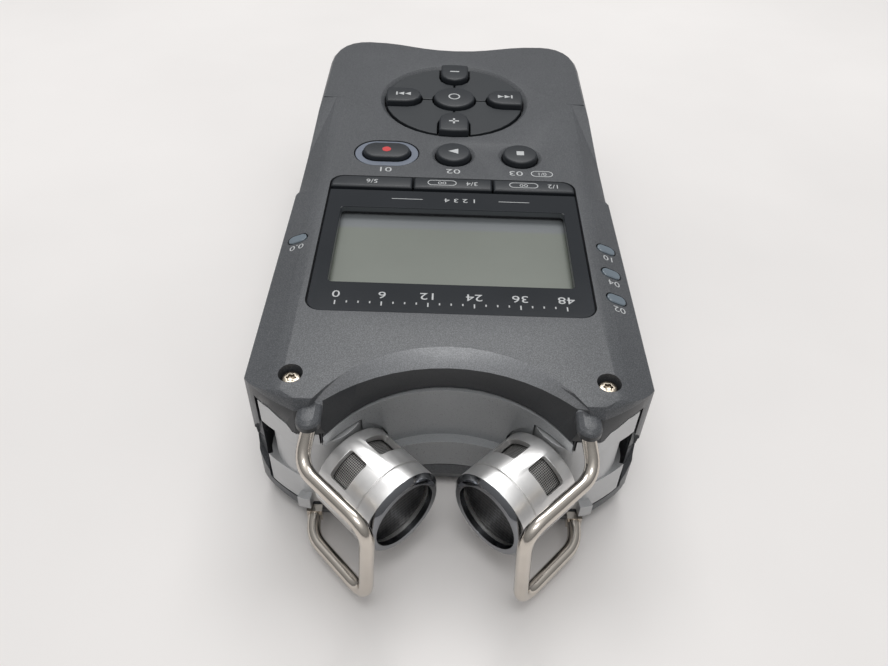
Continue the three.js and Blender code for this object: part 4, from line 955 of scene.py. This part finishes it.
def window_marks():
    """A level scale near the panel and input figures beyond it."""
    scale_start, scale_pitch = 21.5, 8.6
    scale_height, scale_shift = 1.9, 0.9
    ticks, ticks_per_figure = 21, 4
    tick_width, tick_long, tick_short, tick_gap = 0.25, 1.1, 0.55, 1.9
    line_gap, line_length, line_width = 3.1, 6.6, 0.16
    input_at, input_height = 1.7, 1.4
    low, high = (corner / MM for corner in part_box("display_window"))
    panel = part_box("lcd_panel")[0].y / MM

    def on_glass(x, y):
        return spot_at(x, y, high.z + PRINT_GAP) @ turned(180)

    figures_y = (low.y + panel) / 2 + scale_shift
    for count, words in enumerate(("48", "36", "24", "12", "6", "0")):
        place = on_glass(scale_start - scale_pitch * count, figures_y)
        numeral("scale_figure_" + words, words, "casing", place, scale_height, wide=1.25)
    for count in range(ticks):
        tall = tick_short if count % ticks_per_figure else tick_long
        x = scale_start - scale_pitch / ticks_per_figure * count
        place = on_glass(x, figures_y - tick_gap - tall / 2)
        mark(f"scale_tick_{count + 1}", lambda work: bar(work, 0, 0, tick_width, tall), "casing", place)
    line_y = high.y - line_gap
    for name, x in (("input_line_right", 13.2), ("input_line_left", -9.8)):
        mark(name, lambda work: bar(work, 0, 0, line_length, line_width), "casing", on_glass(x, line_y))
    numeral("input_figures", "1 2 3 4", "casing", on_glass(input_at, line_y), input_height, wide=1.3)


def side_marks():
    """Plus and minus beside the rockers, and figures beside the sockets."""
    length, line = 1.8, 0.35
    plus_gap, minus_gap = 2.4, 2.2
    socket_gap, socket_height = 1.9, 1.7
    for side, node in ((1, "volume_rocker"), (-1, "level_rocker")):
        low, high = (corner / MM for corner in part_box(node))
        z = (low.z + high.z) / 2
        plus_place = on_side(side, high.y + plus_gap, z)
        minus_place = on_side(side, low.y - minus_gap, z)
        mark(node + "_plus_bar", lambda work: bar(work, 0, 0, length, line), "casing", plus_place)
        mark(node + "_plus_post", lambda work: bar(work, 0, 0, line, length), "casing", plus_place)
        mark(node + "_minus_bar", lambda work: bar(work, 0, 0, length, line), "casing", minus_place)
    for side, node, words in ((1, "phones_jack", "1"), (-1, "power_jack", "5"), (-1, "usb_port", "2")):
        low, high = (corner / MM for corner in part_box(node))
        place = on_side(side, (low.y + high.y) / 2, high.z + socket_gap)
        numeral(node + "_figure", words, "casing", place, socket_height)


key_marks()
function_marks()
face_marks()
window_marks()
side_marks()


# Studio, with its lengths in metres

FLOOR_HALF = 2.0
PALE = rgb(236, 233, 231)
# The tone of the room from low down to overhead: the share of the way up, and the tone there
OVERHEAD = (0, -0.1, 0.995)
LOWEST_TONE = (0.2, 0.2, 0.205, 1)
HIGHEST_TONE = (1.1, 1.1, 1.1, 1)
TONES_BETWEEN = ((0.3, 0.27), (0.72, 0.42))


def build_floor():
    work = bmesh.new()
    bmesh.ops.create_grid(work, x_segments=1, y_segments=1, size=FLOOR_HALF)
    mesh = bpy.data.meshes.new("studio_floor")
    work.to_mesh(mesh)
    work.free()
    floor = bpy.data.objects.new("studio_floor", mesh)
    bpy.context.scene.collection.objects.link(floor)
    mesh.materials.append(plain("floor_card", PALE, 0.8, spread=0.05, scale=6, bump=0.0))


def soft_box(name, place, target, size, power):
    """A rectangular lamp at a place, aimed at a target; its power is in watts."""
    lamp = bpy.data.lights.new(name, "AREA")
    lamp.shape = "RECTANGLE"
    lamp.size, lamp.size_y = size
    lamp.energy = power
    box = bpy.data.objects.new(name, lamp)
    bpy.context.scene.collection.objects.link(box)
    aim = (Vector(target) - Vector(place)).to_track_quat("-Z", "Y")
    box.matrix_world = Matrix.Translation(place) @ aim.to_matrix().to_4x4()


def build_room():
    """Light from all round, brightest overhead, while the camera sees an even pale tone."""
    world = bpy.data.worlds.new("room")
    bpy.context.scene.world = world
    world.use_nodes = True
    tree = world.node_tree
    back = tree.nodes["Background"]
    toward = add(tree, "ShaderNodeVectorMath", operation="DOT_PRODUCT")
    wire(tree, add(tree, "ShaderNodeTexCoord").outputs["Generated"], toward.inputs[0])
    toward.inputs[1].default_value = OVERHEAD
    ramp = add(tree, "ShaderNodeValToRGB")
    steps = ramp.color_ramp.elements
    steps[0].color = LOWEST_TONE
    steps[1].color = HIGHEST_TONE
    for position, level in TONES_BETWEEN:
        step = steps.new(position)
        step.color = (level, level, level, 1)
    wire(tree, toward.outputs["Value"], ramp.inputs["Fac"])
    seen = add(tree, "ShaderNodeLightPath").outputs["Is Camera Ray"]
    wire(tree, blend(tree, seen, ramp.outputs["Color"], PALE), back.inputs["Color"])
    back.inputs["Strength"].default_value = 1.0


build_floor()
build_room()
soft_box("ceiling_light", place=(0, -0.28, 1.0), target=(0, -0.03, 0), size=(0.4, 0.3), power=1.6)
soft_box("far_light", place=(0, 0.45, 0.75), target=(0, 0, 0), size=(0.6, 0.3), power=3.0)
bpy.context.scene.view_settings.view_transform = "Standard"
